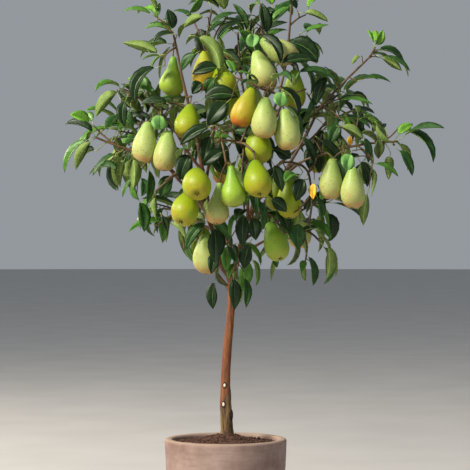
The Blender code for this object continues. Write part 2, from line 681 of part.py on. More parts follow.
@dataclass
class Leaf:
    """One leaf: where its stalk is rooted, how it sets out, its size, its droop and its twist."""

    root: Vector
    heading: Vector
    length: float
    width: float
    droop: float
    twist: float

    def frame(self, share):
        """Place, tangent, side and upper normal at a share of the leaf's length. It bends in an arc."""
        down = -UP + UP.dot(self.heading) * self.heading
        if down.length < 0.05:
            down = self.heading.orthogonal()
        down.normalize()
        angle = self.droop * share
        run = self.length / self.droop
        place = self.root + self.heading * (run * math.sin(angle)) + down * (run * (1.0 - math.cos(angle)))
        tangent = self.heading * math.cos(angle) + down * math.sin(angle)
        side = self.heading.cross(down)
        roll = Quaternion(tangent, self.twist * (ROOT_TWIST + (1.0 - ROOT_TWIST) * share))
        normal = roll @ tangent.cross(side)
        return place, tangent, roll @ side, -normal

    def samples(self):
        """Points of the leaf that are tested for room."""
        points = [self.frame(share)[0] for share in (0.30, 0.80, 1.0)]
        middle, _, side, _ = self.frame(LEAF_WIDEST)
        points.append(middle)
        points.append(middle + side * (self.width / 2.0))
        points.append(middle - side * (self.width / 2.0))
        return points


def leaf_at(rng, root, axis, turn, spread):
    """Draw one leaf that leaves a twig's axis. High in the crown leaves rise first, low down they hang."""
    lift = (root.z - CROWN_LOW) / (CROWN_HIGH - CROWN_LOW)
    lift = min(1.0, max(0.0, lift))
    turn += rng.uniform(-TURN_PLAY, TURN_PLAY)
    spread += rng.uniform(-SPREAD_PLAY, SPREAD_PLAY)
    rise = rng.uniform(*LOW_RISE) * (1.0 - lift) + rng.uniform(*HIGH_RISE) * lift
    heading = (heading_off(axis, turn, spread) + UP * rise).normalized()
    length = LEAF_LENGTH * rng.uniform(*LENGTH_PLAY)
    width = LEAF_WIDTH * rng.uniform(*WIDTH_PLAY)
    return Leaf(root, heading, length, width, rng.uniform(*BEND), rng.uniform(-TWIST, TWIST))


class Growth:
    """The twigs, leaves and pears of one mass, grown by a seeded rule."""

    def __init__(self, mass, crown, blocked):
        self.mass = mass
        self.crown = crown
        self.blocked = blocked
        self.rng = random.Random("%s %d" % (mass.name, SEED))
        self.twigs = []
        self.leaves = []
        self.pears = []
        self.own = []
        self.turn = self.rng.uniform(0.0, 2.0 * math.pi)

    def grow(self):
        """The stem and pears first, then shoots with their leaves, then spurs along the stem."""
        self.add_twig(self.crown.stems[self.mass.name], STEM_SIDES)
        for line in self.crown.shoots[self.mass.name]:
            self.add_twig(line)
        for cluster in self.mass.clusters:
            self.bear(cluster)
        for line in self.crown.shoots[self.mass.name]:
            self.dress_shoot(line)
        self.dress_stem()

    def add_twig(self, line, sides=TWIG_SIDES):
        """Keep a twig, and note the room that it takes."""
        self.twigs.append((line, sides))
        self.own.append(tree_of(tube_mesh("twig", line, sides)))

    def bear(self, cluster):
        """A spur that carries the stalks of one cluster of pears."""
        tops = []
        for pear in cluster:
            tops.append(pear.along(-STALK_LENGTH / PEAR_LENGTH))
        spur = sum(tops, Vector()) / len(tops)
        stem = self.crown.stems[self.mass.name]
        places = [along(stem, FIRST_PLACE + (1.0 - FIRST_PLACE) * step / PLACES) for step in range(PLACES)]
        root = min(places, key=lambda place: (place - spur).length)
        bow = root.lerp(spur, 0.5) + UP * BOW * (spur - root).length
        self.add_twig(tapered((root, bow, spur), *SHOOT_RADIUS))
        for pear in cluster:
            neck = pear.along(0.0)
            middle = spur.lerp(neck, 0.5) + UP * BOW * (neck - spur).length
            self.add_twig(tapered((spur, middle, pear.along(STALK_SINK)), STALK_RADIUS, STALK_RADIUS))
            self.pears.append(pear)
        self.rosette(spur, (spur - bow).normalized(), SPUR_LEAVES)

    def dress_shoot(self, line):
        """Leaves one after another along a shoot, and a rosette at its tip."""
        length = line_length(line)
        count = int(length / SHOOT_LEAF_SPACING)
        for index in range(1, count):
            share = index / count
            self.add_leaf(along(line, share), heading_at(line, share), SHOOT_SPREAD)
        self.rosette(Vector(line[-1][:3]), end_direction(line), TIP_LEAVES)

    def dress_stem(self):
        """Short spurs at even steps along the stem, each with a rosette, and the stem's own tip."""
        stem = self.crown.stems[self.mass.name]
        count = max(2, int(line_length(stem) / SPUR_SPACING))
        for index in range(1, count):
            share = index / count
            root = along(stem, share)
            self.turn += GOLDEN_TURN
            heading = heading_off(heading_at(stem, share), self.turn, SPUR_ANGLE)
            tip = root + heading * self.rng.uniform(*SPUR_LENGTH)
            if self.crown.free(tip, self.mass.name, LIMB_GAP):
                self.add_twig(tapered((root, tip), SPUR_RADIUS, SPUR_RADIUS))
                self.rosette(tip, heading, ROSETTE_LEAVES)
        self.rosette(Vector(stem[-1][:3]), end_direction(stem), TIP_LEAVES)

    def rosette(self, tip, axis, count):
        """Leaves round the end of a twig, each rooted a step further back."""
        for index in range(count):
            root = tip - axis * (ROSETTE_STEP * (index + 0.6))
            self.add_leaf(root, axis, FIRST_SPREAD + MORE_SPREAD * index)

    def add_leaf(self, root, axis, spread):
        """Try a few headings for one leaf, and keep the first that has room."""
        self.turn += GOLDEN_TURN
        drawn = [leaf_at(self.rng, root, axis, self.turn + NEXT_TURN * step, spread)
                 for step in range(LEAF_TRIES)]
        for leaf in drawn:
            if self.has_room(leaf):
                self.leaves.append(leaf)
                self.own.append(tree_of(leaf_mesh(leaf)))
                return

    def has_room(self, leaf):
        """Whether a leaf keeps its distance from limbs, pears, other masses and its neighbours."""
        middle = leaf.frame(0.6)[0]
        pitch = LEAF_PITCH if middle.y < 0.0 else BACK_PITCH
        for other in self.leaves:
            if (other.frame(0.6)[0] - middle).length < pitch:
                return False
        for point in leaf.samples():
            if not self.crown.free(point, self.mass.name, LIMB_GAP):
                return False
        mesh = leaf_mesh(leaf, 2.0 * CLEARANCE)
        hit = touches(mesh, self.blocked)
        bpy.data.meshes.remove(mesh)
        return not hit and not self.crosses_neighbours(leaf)

    def crosses_neighbours(self, leaf):
        """Whether a leaf, past its root, crosses the twigs or leaves that its mass has already."""
        mesh = leaf_mesh(leaf, 0.0, ROOT_SHARE)
        hit = touches(mesh, self.own)
        bpy.data.meshes.remove(mesh)
        return hit


def leaf_mesh(leaf, extra=0.0, start=0.0):
    """The solid of a leaf: a three-sided stalk that widens to the blade and ends in one point.
    It may begin part of the way along the stalk."""
    width = leaf.width / 2.0 / math.cos(math.pi / 6.0)
    depth = LEAF_DEPTH * 2.0 / 3.0
    blend = start / LEAF_WIDEST
    half_at = {start: PETIOLE_RADIUS + (width - PETIOLE_RADIUS) * blend, LEAF_WIDEST: width}
    depth_at = {start: PETIOLE_RADIUS + (depth - PETIOLE_RADIUS) * blend, LEAF_WIDEST: depth}
    shape = bmesh.new()
    bmesh.ops.create_cone(shape, cap_ends=True, segments=3, radius1=1.0, radius2=1.0, depth=1.0)
    top = [face for face in shape.faces if all(vert.co.z > 0.0 for vert in face.verts)]
    poked = bmesh.ops.poke(shape, faces=top)
    tip = poked["verts"][0]
    for vert in shape.verts:
        if vert is tip:
            vert.co = leaf.frame(1.0)[0]
            continue
        share = start if vert.co.z < 0.0 else LEAF_WIDEST
        across = vert.co.x * (half_at[share] + extra)
        over = vert.co.y * (depth_at[share] + extra)
        place, _, side, normal = leaf.frame(share)
        vert.co = place + side * across + normal * over
    return closed_mesh("leaf", shape)


def pear_mesh(pear):
    """The solid of a pear: a sphere whose rings are set to the shape of the fruit."""
    shape = bmesh.new()
    bmesh.ops.create_uvsphere(shape, u_segments=PEAR_SIDES, v_segments=PEAR_RINGS, radius=1.0)
    levels = sorted({round(vert.co.z, 4) for vert in shape.verts}, reverse=True)
    axis = pear.axis()
    side = axis.orthogonal().normalized()
    other = axis.cross(side)
    start = pear.middle() - axis * (PEAR_LENGTH / 2.0)
    for vert in shape.verts:
        place, share = PEAR_SHAPE[levels.index(round(vert.co.z, 4))]
        flat = Vector((vert.co.x, vert.co.y, 0.0))
        radius = PEAR_RADIUS * share if flat.length > 0.001 else 0.0
        flat = flat.normalized() * radius if radius else flat * 0.0
        vert.co = start + axis * (place * PEAR_LENGTH) + side * flat.x + other * flat.y
    return closed_mesh("pear", shape)


def tree_of(mesh):
    """A search tree of a mesh's faces."""
    points = [vert.co.copy() for vert in mesh.vertices]
    faces = [tuple(face.vertices) for face in mesh.polygons]
    return BVHTree.FromPolygons(points, faces)


def touches(mesh, trees):
    """Whether a mesh crosses any of the search trees."""
    own = tree_of(mesh)
    return any(own.overlap(other) for other in trees)


def union(name, meshes, collection):
    """Fuse closed meshes into one body with a Boolean union on a collection."""
    base = object_from_mesh(name, meshes[0], collection)
    operands = new_collection(name + "_pieces")
    for index, mesh in enumerate(meshes[1:]):
        object_from_mesh("%s_piece_%d" % (name, index), mesh, operands)
    modifier = base.modifiers.new("join", "BOOLEAN")
    modifier.operation = "UNION"
    modifier.operand_type = "COLLECTION"
    modifier.collection = operands
    modifier.solver = "MANIFOLD"
    evaluated = base.evaluated_get(bpy.context.evaluated_depsgraph_get())
    joined = bpy.data.meshes.new_from_object(evaluated)
    base.modifiers.clear()
    base.data = joined
    for item in list(operands.objects):
        bpy.data.objects.remove(item, do_unlink=True)
    bpy.data.collections.remove(operands)
    keep_main_body(joined)
    return base


def split_to_triangles(shape):
    """Cut every face into triangles, and keep two faces to an edge: where two flat faces were cut
    along the same line, one of the cuts gets a point in its middle."""
    source = shape.faces.layers.int.new("source")
    for index, face in enumerate(shape.faces):
        face[source] = index
    bmesh.ops.triangulate(shape, faces=shape.faces)
    for edge in [edge for edge in shape.edges if len(edge.link_faces) > 2]:
        cuts = {}
        for face in edge.link_faces:
            cuts.setdefault(face[source], []).append(face)
        spare = [faces for faces in cuts.values() if len(faces) == 2]
        middle = shape.verts.new((edge.verts[0].co + edge.verts[1].co) / 2.0)
        for face in spare[0] if spare else ():
            corners = list(face.verts)
            while corners[0] in edge.verts:
                corners = corners[1:] + corners[:1]
            split_at(shape, face, corners, middle)


def split_at(shape, face, corners, middle):
    """Replace a triangle by two that meet at a point on the side across from its first corner."""
    shape.faces.new((corners[0], corners[1], middle))
    shape.faces.new((corners[0], middle, corners[2]))
    shape.faces.remove(face)


def keep_main_body(mesh):
    """Keep the outer skin of the main body: sealed hollows are filled and loose scraps dropped."""
    shape = bmesh.new()
    shape.from_mesh(mesh)
    split_to_triangles(shape)
    unseen = set(shape.faces)
    skins = []
    while unseen:
        skin = {unseen.pop()}
        edge_of_skin = list(skin)
        while edge_of_skin:
            face = edge_of_skin.pop()
            for edge in face.edges:
                for other in edge.link_faces:
                    if other in unseen:
                        unseen.discard(other)
                        skin.add(other)
                        edge_of_skin.append(other)
        skins.append(skin)
    main = max(skins, key=len)
    loose = [face for skin in skins if skin is not main for face in skin]
    bmesh.ops.delete(shape, geom=loose, context="FACES")
    shape.to_mesh(mesh)
    shape.free()


def make_masses(collection, crown):
    """Every mass of foliage, one after another, each clear of the limbs and of the masses before it."""
    limbs = [item for item in collection.objects if item.name == "trunk" or item.name.startswith("bough")]
    depsgraph = bpy.context.evaluated_depsgraph_get()
    blocked = []
    for limb in limbs:
        evaluated = limb.evaluated_get(depsgraph)
        mesh = evaluated.to_mesh()
        blocked.append(tree_of(mesh))
        evaluated.to_mesh_clear()
    for mass in MASSES:
        growth = Growth(mass, crown, blocked)
        growth.grow()
        meshes = [tube_mesh("twig", line, sides) for line, sides in growth.twigs]
        meshes += [pear_mesh(pear) for pear in growth.pears]
        meshes += [leaf_mesh(leaf) for leaf in growth.leaves]
        item = union(mass.name, meshes, collection)
        paint(item, GREEN)
        blocked.append(tree_of(item.data))


def main():
    """Build the whole plant."""
    clear_scene()
    collection = new_collection(TREE)
    cutters = new_collection("cutters")
    make_pot(collection, cutters)
    make_soil(collection)
    lines = make_limbs(collection, cutters)
    make_masses(collection, Crown(lines))


main()
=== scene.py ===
"""The looks of a young pear tree in fruit, grown as a standard in a round terracotta pot.

Metres, +Z up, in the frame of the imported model. The viewer stands on the -Y side.
The pot, the soil and the bark take the places of their solids. Each mass of foliage is grown again by the
source's rule, from the same boughs, and carried on to finer twigs and more leaves within the same reach.
"""

import json
import logging
import math
import random
from dataclasses import dataclass, field
from enum import Enum
from functools import partial
from typing import Callable, Iterable, Optional, Sequence

import bmesh
import bpy
import numpy as np
from mathutils import Matrix, Quaternion, Vector, noise
from mathutils.bvhtree import BVHTree

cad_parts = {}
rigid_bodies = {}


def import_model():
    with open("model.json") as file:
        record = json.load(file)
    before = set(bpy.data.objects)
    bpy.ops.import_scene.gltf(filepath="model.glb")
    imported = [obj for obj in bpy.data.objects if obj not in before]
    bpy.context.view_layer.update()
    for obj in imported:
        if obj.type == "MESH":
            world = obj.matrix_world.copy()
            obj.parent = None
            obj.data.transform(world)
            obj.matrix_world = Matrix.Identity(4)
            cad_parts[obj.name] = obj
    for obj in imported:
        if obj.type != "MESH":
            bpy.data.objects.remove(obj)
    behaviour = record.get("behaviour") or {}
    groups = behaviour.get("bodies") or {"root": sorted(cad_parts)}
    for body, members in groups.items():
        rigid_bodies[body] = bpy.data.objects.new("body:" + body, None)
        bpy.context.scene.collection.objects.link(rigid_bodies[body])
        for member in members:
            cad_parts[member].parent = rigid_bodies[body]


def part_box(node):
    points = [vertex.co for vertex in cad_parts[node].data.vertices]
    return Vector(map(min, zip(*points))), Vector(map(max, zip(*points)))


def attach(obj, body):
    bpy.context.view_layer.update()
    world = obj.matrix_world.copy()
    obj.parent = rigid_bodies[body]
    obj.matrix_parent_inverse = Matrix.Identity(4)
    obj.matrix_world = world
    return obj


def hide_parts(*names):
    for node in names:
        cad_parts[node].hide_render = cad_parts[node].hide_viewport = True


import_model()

LOG = logging.getLogger("pear_tree")
UP = Vector((0.0, 0.0, 1.0))
MM = 0.001
SEED = 41
TURN = 2.0 * math.pi
GOLDEN_TURN = math.radians(137.5)

# The camera stands level in front of the tree, and looks along +Y.
EYE = Vector((0.0228, -4.8, 0.7777))
LENS_MM = 150.0
SENSOR_MM = 36.0

# The pot, its soil and the trunk, as the solids have them.
POT_HEIGHT = 0.280
POT_RIM_RADIUS = 0.150
POT_FOOT_RADIUS = 0.137
POT_WALL = 0.020
POT_FLOOR = 0.024
SOIL_EDGE = POT_HEIGHT - 0.010
SOIL_TOP = POT_HEIGHT + 0.011
SOIL_CROWN_RADIUS = 0.020
SOIL_GAP = 0.3 * MM
GRAFT_HEIGHT = 0.372
TRUNK_LINE = (
    (0.003, 0.000, SOIL_TOP - 0.012, 0.0172),
    (0.003, 0.000, SOIL_TOP + 0.010, 0.0146),
    (0.002, 0.000, 0.336, 0.0150),
    (-0.001, 0.000, 0.363, 0.0143),
    (-0.001, 0.000, 0.390, 0.0117),
    (0.000, 0.001, 0.440, 0.0113),
    (0.004, 0.002, 0.500, 0.0110),
    (0.010, 0.002, 0.560, 0.0099),
    (0.014, 0.001, 0.610, 0.0092),
    (0.013, 0.000, 0.660, 0.0086),
    (0.034, 0.000, 0.741, 0.0076),
    (0.060, -0.003, 0.820, 0.0070),
    (0.076, -0.003, 0.880, 0.0064),
    (0.086, 0.000, 0.990, 0.0054),
    (0.098, 0.000, 1.105, 0.0044),
)

# Pears, and the outlines of one with a blunt neck and one with a long neck: places down it, and shares of
# its girth.
PEAR_LENGTH = 0.098
PEAR_RADIUS = 0.030
BLUNT_PEAR = (
    (0.0, 0.12), (0.015, 0.25), (0.08, 0.40), (0.18, 0.55), (0.30, 0.72), (0.42, 0.87), (0.54, 0.97),
    (0.66, 1.0), (0.79, 0.94), (0.90, 0.74), (0.955, 0.52), (0.98, 0.36), (0.962, 0.2), (0.925, 0.08),
)
SLIM_PEAR = (
    (0.0, 0.10), (0.015, 0.20), (0.09, 0.28), (0.21, 0.38), (0.35, 0.54), (0.49, 0.75), (0.61, 0.92),
    (0.72, 1.0), (0.83, 0.94), (0.92, 0.70), (0.965, 0.47), (0.985, 0.31), (0.97, 0.18), (0.94, 0.08),
)
# How pears differ: in girth, in how round they are, in the bend of the neck, in the lean of the shoulders
# and in their lumps, some of which are faint ribs with a twist.
GIRTH_PLAY = (0.96, 1.04)
ROUND_PLAY = (0.95, 1.0)
NECK_BEND = 0.0045
SHOULDER_LEAN = 0.06
PEAR_LUMPS = 0.022
PEAR_RIBS = 3.0
PEAR_TWIST = 5.0
# The dry sepals: their number, the share of the pear's length where they stand, their ring, how far their
# tips spread, and their size.
SEPALS = 5
SEPAL_PLACE = 0.948
SEPAL_RING = 0.0032
SEPAL_SPREAD = 1.9
SEPAL_WIDTH = 0.0018
SEPAL_LENGTH = 0.0055

# A leaf of full size: its length with the stalk, its width, and the stalk's share of the length, its radius
# and how far it runs on under the blade.
LEAF_LENGTH = 0.122
LEAF_WIDTH = 0.040
PETIOLE_SHARE = 0.18
PETIOLE_RADIUS = 0.0009
PETIOLE_LAP = 0.02
# The blade: its thickness, the rise of its halves, how proud the rib stands below, and its waves: how many
# radians of them, how far those of the two edges are apart, and their height in millimetres.
BLADE_THICK = 0.0005
PUFF = 0.10
RIB_PROUD = 2.2
RIPPLES = 9.0
RIPPLE_SHIFT = 1.7
WAVE = (0.4, 1.8)
# How leaves differ in size, in their bend and in their fold along the rib, the last two in radians.
LENGTH_PLAY = (0.82, 1.12)
WIDTH_PLAY = (0.85, 1.15)
BEND = (0.7, 1.8)
FOLD = (0.20, 0.75)
# The bend grows towards the tip by a power, and the twist begins with a share at the root.
BEND_LATE = 1.2
ROOT_TWIST = 0.35
LEAF_STEPS = 24
MIDDLE_SHARE = 0.6
# Where a blade is tested for room: shares of its length, and of its width there. One of them is its middle.
PROBE_SHARES = np.array([0.25, 0.45, 0.65, 0.85, 1.0])
PROBE_WIDTHS = np.array([0.35, 1.0, 0.95, 0.55, 0.0])
MIDDLE_PROBE = 2

# Leaves turn their upper sides outwards, upwards and to the sun by these shares, as far as a share of the
# turn, a limit and some play allow.
OUTWARDS, UPWARDS, SUNWARDS = 0.45, 0.45, 0.8
SUN = Vector((-0.35, -0.85, 0.40))
CROWN_MIDDLE = Vector((0.05, 0.0, 0.95))
TURN_SHARE = 0.75
TURN_MOST = 1.3
TWIST_PLAY = 0.45

# Leaves that the photo shows: play of the tip's depth and of the fold, the depths tried one after another,
# and the twiglet from the nearest twig: how far back it forks, where it bows, its least length and radii.
TIP_PLAY = (-0.020, 0.015)
NOTED_FOLD = (0.25, 0.55)
DEPTH_STEP = 0.012
DEPTH_TRIES = 7
NOTED_GAP = 0.001
TWIGLET_BACK = 0.04
TWIGLET_BOW = 0.55
TWIGLET_LEAST = 4.0 * MM
TWIGLET_RADIUS = (0.0016, 0.0011)

# The rule of growth, with the source's values.
SHOOT_RADIUS = (0.0025, 0.0019)
STEM_TIP_RADIUS = 0.0026
STALK_LENGTH = 0.026
STALK_RADIUS = 0.0015
STALK_FOOT = 1.3
STALK_IN = 0.05
CLUSTER_LOW = 0.2
CLUSTER_RADIUS = (0.0028, 0.0030)
SPUR_LENGTH = (0.012, 0.032)
SPUR_ANGLE = 1.0
SPUR_RADIUS = 0.0019
SPUR_TAPER = 0.85
SPUR_SPACING = 0.062
SHOOT_LEAF_SPACING = 0.034
SHOOT_SPREAD = 1.0
FIRST_SPREAD = 0.55
MORE_SPREAD = 0.25
TURN_PLAY = 0.3
SPREAD_PLAY = 0.2
LOW_RISE = (-0.55, -0.10)
HIGH_RISE = (0.05, 0.50)
CROWN_LOW = 0.70
CROWN_HIGH = 1.15
CROWN_FLOOR = 0.600
ROSETTE_STEP = 0.0035
ROSETTE_LEAVES = 3
STEM_INSIDE = 0.004
STRAIGHT_START = 0.012
BOW = 0.12
LEAF_TRIES = 12
NEXT_TURN = 0.9
SPACE_GAP = 0.002
LIMB_GAP = 0.005
FRUIT_GAP = 0.003
LEAF_PITCH = 0.019
# Places along a pear: how far its region, neck, belly and shown part reach. The region is this thick.
REGION_SPAN = (0.0, 0.8)
NECK_SPAN = (0.05, 0.48)
BELLY_SPAN = (0.48, 0.70)
SHOWN_SPAN = (0.25, 0.75)
NECK_GIRTH = 0.5
REGION_FRUIT_RADIUS = 0.014
# Leaves keep this far from the middle of a pear that is shown and of a bare stem, within a depth.
VIEW_DEPTH = 0.25
VIEW_RADIUS = 0.019
BARE_RADIUS = 0.010
# How likely a light leaf is on a cluster's spur, a shoot, a tip and a side twig. Of the light leaves this
# share is young. Of the others, some are olive, and those above a chance are of the middle green.
CLUSTER_LIGHT = 0.1
SHOOT_LIGHT = 0.25
TIP_LIGHT = 0.45
SPUR_LIGHT = 0.25
YOUNG_SHARE = 0.12
OLIVE_CHANCE = 0.05
MID_ABOVE = 0.68

# The finer twigs that only this model has: their spacing on stems and shoots, their length, radius and
# angle, and the size and pitch of their leaves.
FINE_SPACING = 0.021
FINE_LENGTH = (0.014, 0.045)
FINE_RADIUS = 0.0013
FINE_ANGLE = 1.15
FINE_SIZE = (0.70, 1.00)
FINE_PITCH = 0.016
FINE_LEAVES = 3
FINE_FIRST = 0.4
REACH_SLACK = 0.006
# The crown is dense in an oval of the view (X and Z of its middle, half width and height) and opens
# outside it, where leaves stand this much further apart.
DENSE_MIDDLE = (0.075, 0.965)
DENSE_HALF = (0.150, 0.190)
DENSE_FADE = 0.5
OPEN_MORE = 1.3
# In front of the crown's back, leaves of the outskirts also keep this far apart in the view, but not behind
# a pear that is shown.
FRINGE_PITCH = 0.042
FRINGE_BACK = 0.10
VEIL_SPREAD = 1.6
VEIL_DEPTH = 0.02
# Leaves keep clear of this share of a noted leaf's width.
SHOWN_SHARE = 0.30
SHOWN_PLACES = np.array([0.3, 0.6, 0.9])
# A tip where no leaf of full size has room carries smaller ones.
TIP_SIZES = (1.0, 0.75, 0.5)

# Dust and weather dull the wax of leaves and pears to this share of a clean surface's reflection.
DULLED_WAX = 0.35

# How many pairs of edge points are tested, of noted leaves and of those that the rule grows.
NOTED_PAIRS = 3
GROWN_PAIRS = 2
# Steps between the points of limbs, stems, twigs, spurs and stalks, and the corners of their sections.
LIMB_STEP = 0.02
STEM_STEP = 0.008
TWIG_STEP = 0.006
SPUR_STEP = 0.007
STALK_STEP = 0.004
STEM_SIDES = 7
SHOOT_SIDES = 6
SMALL_SIDES = 5
ROOM_SIDES = 4
# The share of a bough over which its last heading is taken, how finely the nearest place on a line is
# sought, and limits below which a direction is too weak to use.
TIP_STRETCH = 0.02
NEAREST_PLACES = 41
ALONG_X = 0.8
WEAK_SIDE = 0.1
WEAK_DOWN = 0.05
TINY = 1e-12


class Tone(Enum):
    """How a leaf's upper side is coloured."""

    DEEP = "deep"
    MID = "mid"
    FRESH = "fresh"
    YOUNG = "young"
    OLIVE = "olive"
    GLAUCOUS = "glaucous"
    GOLD = "gold"


class Skin(Enum):
    """How a pear is coloured."""

    GREEN = "green"
    LIME = "lime"
    PALE = "pale"
    AMBER = "amber"


class Part(Enum):
    """The parts of the crown whose leaves are joined into one piece."""

    TOP = "top"
    LEFT = "left"
    RIGHT = "right"
    FRONT = "front"
    BACK = "back"


class Rind(Enum):
    """The two barks that the boughs show."""

    ORANGE = "orange"
    GREY = "grey"


@dataclass(frozen=True)
class Bough:
    """One limb: it leaves its parent at a height, runs through points and ends at the last.

    thick and thin are its radius at the root and at the tip.
    """

    name: str
    parent: str
    start: float
    line: tuple
    thick: float
    thin: float
    rind: Rind = Rind.ORANGE


BOUGHS = (
    Bough("bough_left", "trunk", 0.668,
          ((-0.016, -0.026, 0.715), (-0.034, -0.058, 0.810), (-0.052, -0.080, 0.910),
           (-0.066, -0.090, 0.999)), 0.0066, 0.0046),
    Bough("bough_left_low", "bough_left", 0.850,
          ((-0.092, -0.085, 0.905), (-0.150, -0.095, 0.945)), 0.0040, 0.0028),
    Bough("bough_left_mid", "bough_left", 0.930,
          ((-0.096, -0.098, 0.985), (-0.122, -0.108, 1.030)), 0.0038, 0.0028),
    Bough("bough_top_left", "bough_left", 0.895,
          ((-0.036, -0.052, 0.980), (-0.028, -0.042, 1.060), (-0.032, -0.042, 1.110)), 0.0042, 0.0032),
    Bough("bough_right", "trunk", 0.790,
          ((0.100, -0.022, 0.862), (0.158, -0.040, 0.955), (0.200, -0.052, 1.030)),
          0.0054, 0.0036, Rind.GREY),
    Bough("bough_right_low", "bough_right", 0.915,
          ((0.185, -0.070, 0.955), (0.235, -0.095, 0.972)), 0.0038, 0.0028, Rind.GREY),
    Bough("bough_front_high", "trunk", 0.975,
          ((0.115, -0.055, 1.045), (0.138, -0.125, 1.098)), 0.0040, 0.0030),
    Bough("bough_front", "trunk", 0.800,
          ((0.054, -0.060, 0.868), (0.052, -0.130, 0.940)), 0.0044, 0.0032),
    Bough("bough_front_left", "bough_left", 0.770,
          ((-0.048, -0.100, 0.832), (-0.066, -0.150, 0.900)), 0.0040, 0.0030),
    Bough("bough_front_right", "trunk", 0.845,
          ((0.110, -0.050, 0.898), (0.162, -0.098, 0.948)), 0.0042, 0.0030, Rind.GREY),
    Bough("bough_low_right", "trunk", 0.712,
          ((0.068, -0.030, 0.748), (0.112, -0.058, 0.772)), 0.0040, 0.0028),
    Bough("bough_low_left", "trunk", 0.640,
          ((-0.026, 0.004, 0.690), (-0.062, -0.026, 0.760)), 0.0042, 0.0030),
    Bough("bough_low_front", "trunk", 0.690,
          ((0.030, -0.045, 0.716), (0.024, -0.076, 0.730)), 0.0036, 0.0026),
    Bough("bough_top_right", "trunk", 1.020,
          ((0.122, -0.018, 1.095), (0.142, -0.028, 1.170)), 0.0036, 0.0030, Rind.GREY),
    Bough("bough_top_back", "trunk", 0.940,
          ((0.074, 0.055, 1.020), (0.050, 0.100, 1.110)), 0.0042, 0.0030),
    Bough("bough_back_left", "bough_left", 0.815,
          ((-0.085, -0.010, 0.880), (-0.135, 0.070, 0.935), (-0.165, 0.120, 0.985)), 0.0044, 0.0030),
    Bough("bough_back", "trunk", 0.860,
          ((0.060, 0.075, 0.925), (0.036, 0.165, 0.985)), 0.0046, 0.0032),
    Bough("bough_back_right", "trunk", 0.900,
          ((0.140, 0.060, 0.960), (0.215, 0.130, 1.020)), 0.0044, 0.0030, Rind.GREY),
    Bough("bough_back_low_left", "trunk", 0.725,
          ((-0.010, 0.070, 0.775), (-0.062, 0.140, 0.805)), 0.0042, 0.0030),
    Bough("bough_back_low_right", "trunk", 0.765,
          ((0.100, 0.070, 0.800), (0.165, 0.135, 0.825)), 0.0042, 0.0030, Rind.GREY),
)


@dataclass(frozen=True)
class Pear:
    """One pear: its middle, the way its foot leans in X and Y, its skin, whether leaves keep clear of it
    in the view, whether its neck is long, and its share of the usual girth."""

    x: float
    y: float
    z: float
    lean_x: float = 0.0
    lean_y: float = 0.0
    skin: Skin = Skin.GREEN
    shown: bool = True
    slim: bool = False
    girth: float = 1.0

    def axis(self) -> Vector:
        """Unit vector from the stalk to the foot of the pear."""
        drop = math.sqrt(1.0 - self.lean_x ** 2 - self.lean_y ** 2)
        return Vector((self.lean_x, self.lean_y, -drop))

    def along(self, place: float) -> Vector:
        """The point of the axis at a share of the length, from the end of the neck to the foot."""
        return Vector((self.x, self.y, self.z)) + self.axis() * (PEAR_LENGTH * (place - 0.5))

    def stretch(self, span: Sequence[float]) -> "Line":
        """The axis between two such places."""
        return Line.tapered((self.along(span[0]), self.along(span[1])), 0.0, 0.0)


@dataclass(frozen=True)
class Mass:
    """One mass of foliage: its bough, the line of its stem, its shoots (place on the stem and tip), its
    clusters of pears, and whether the stem shows bare from the front."""

    name: str
    part: Part
    bough: str
    stem: tuple
    shoots: tuple = ()
    clusters: tuple = ()
    bare: bool = False


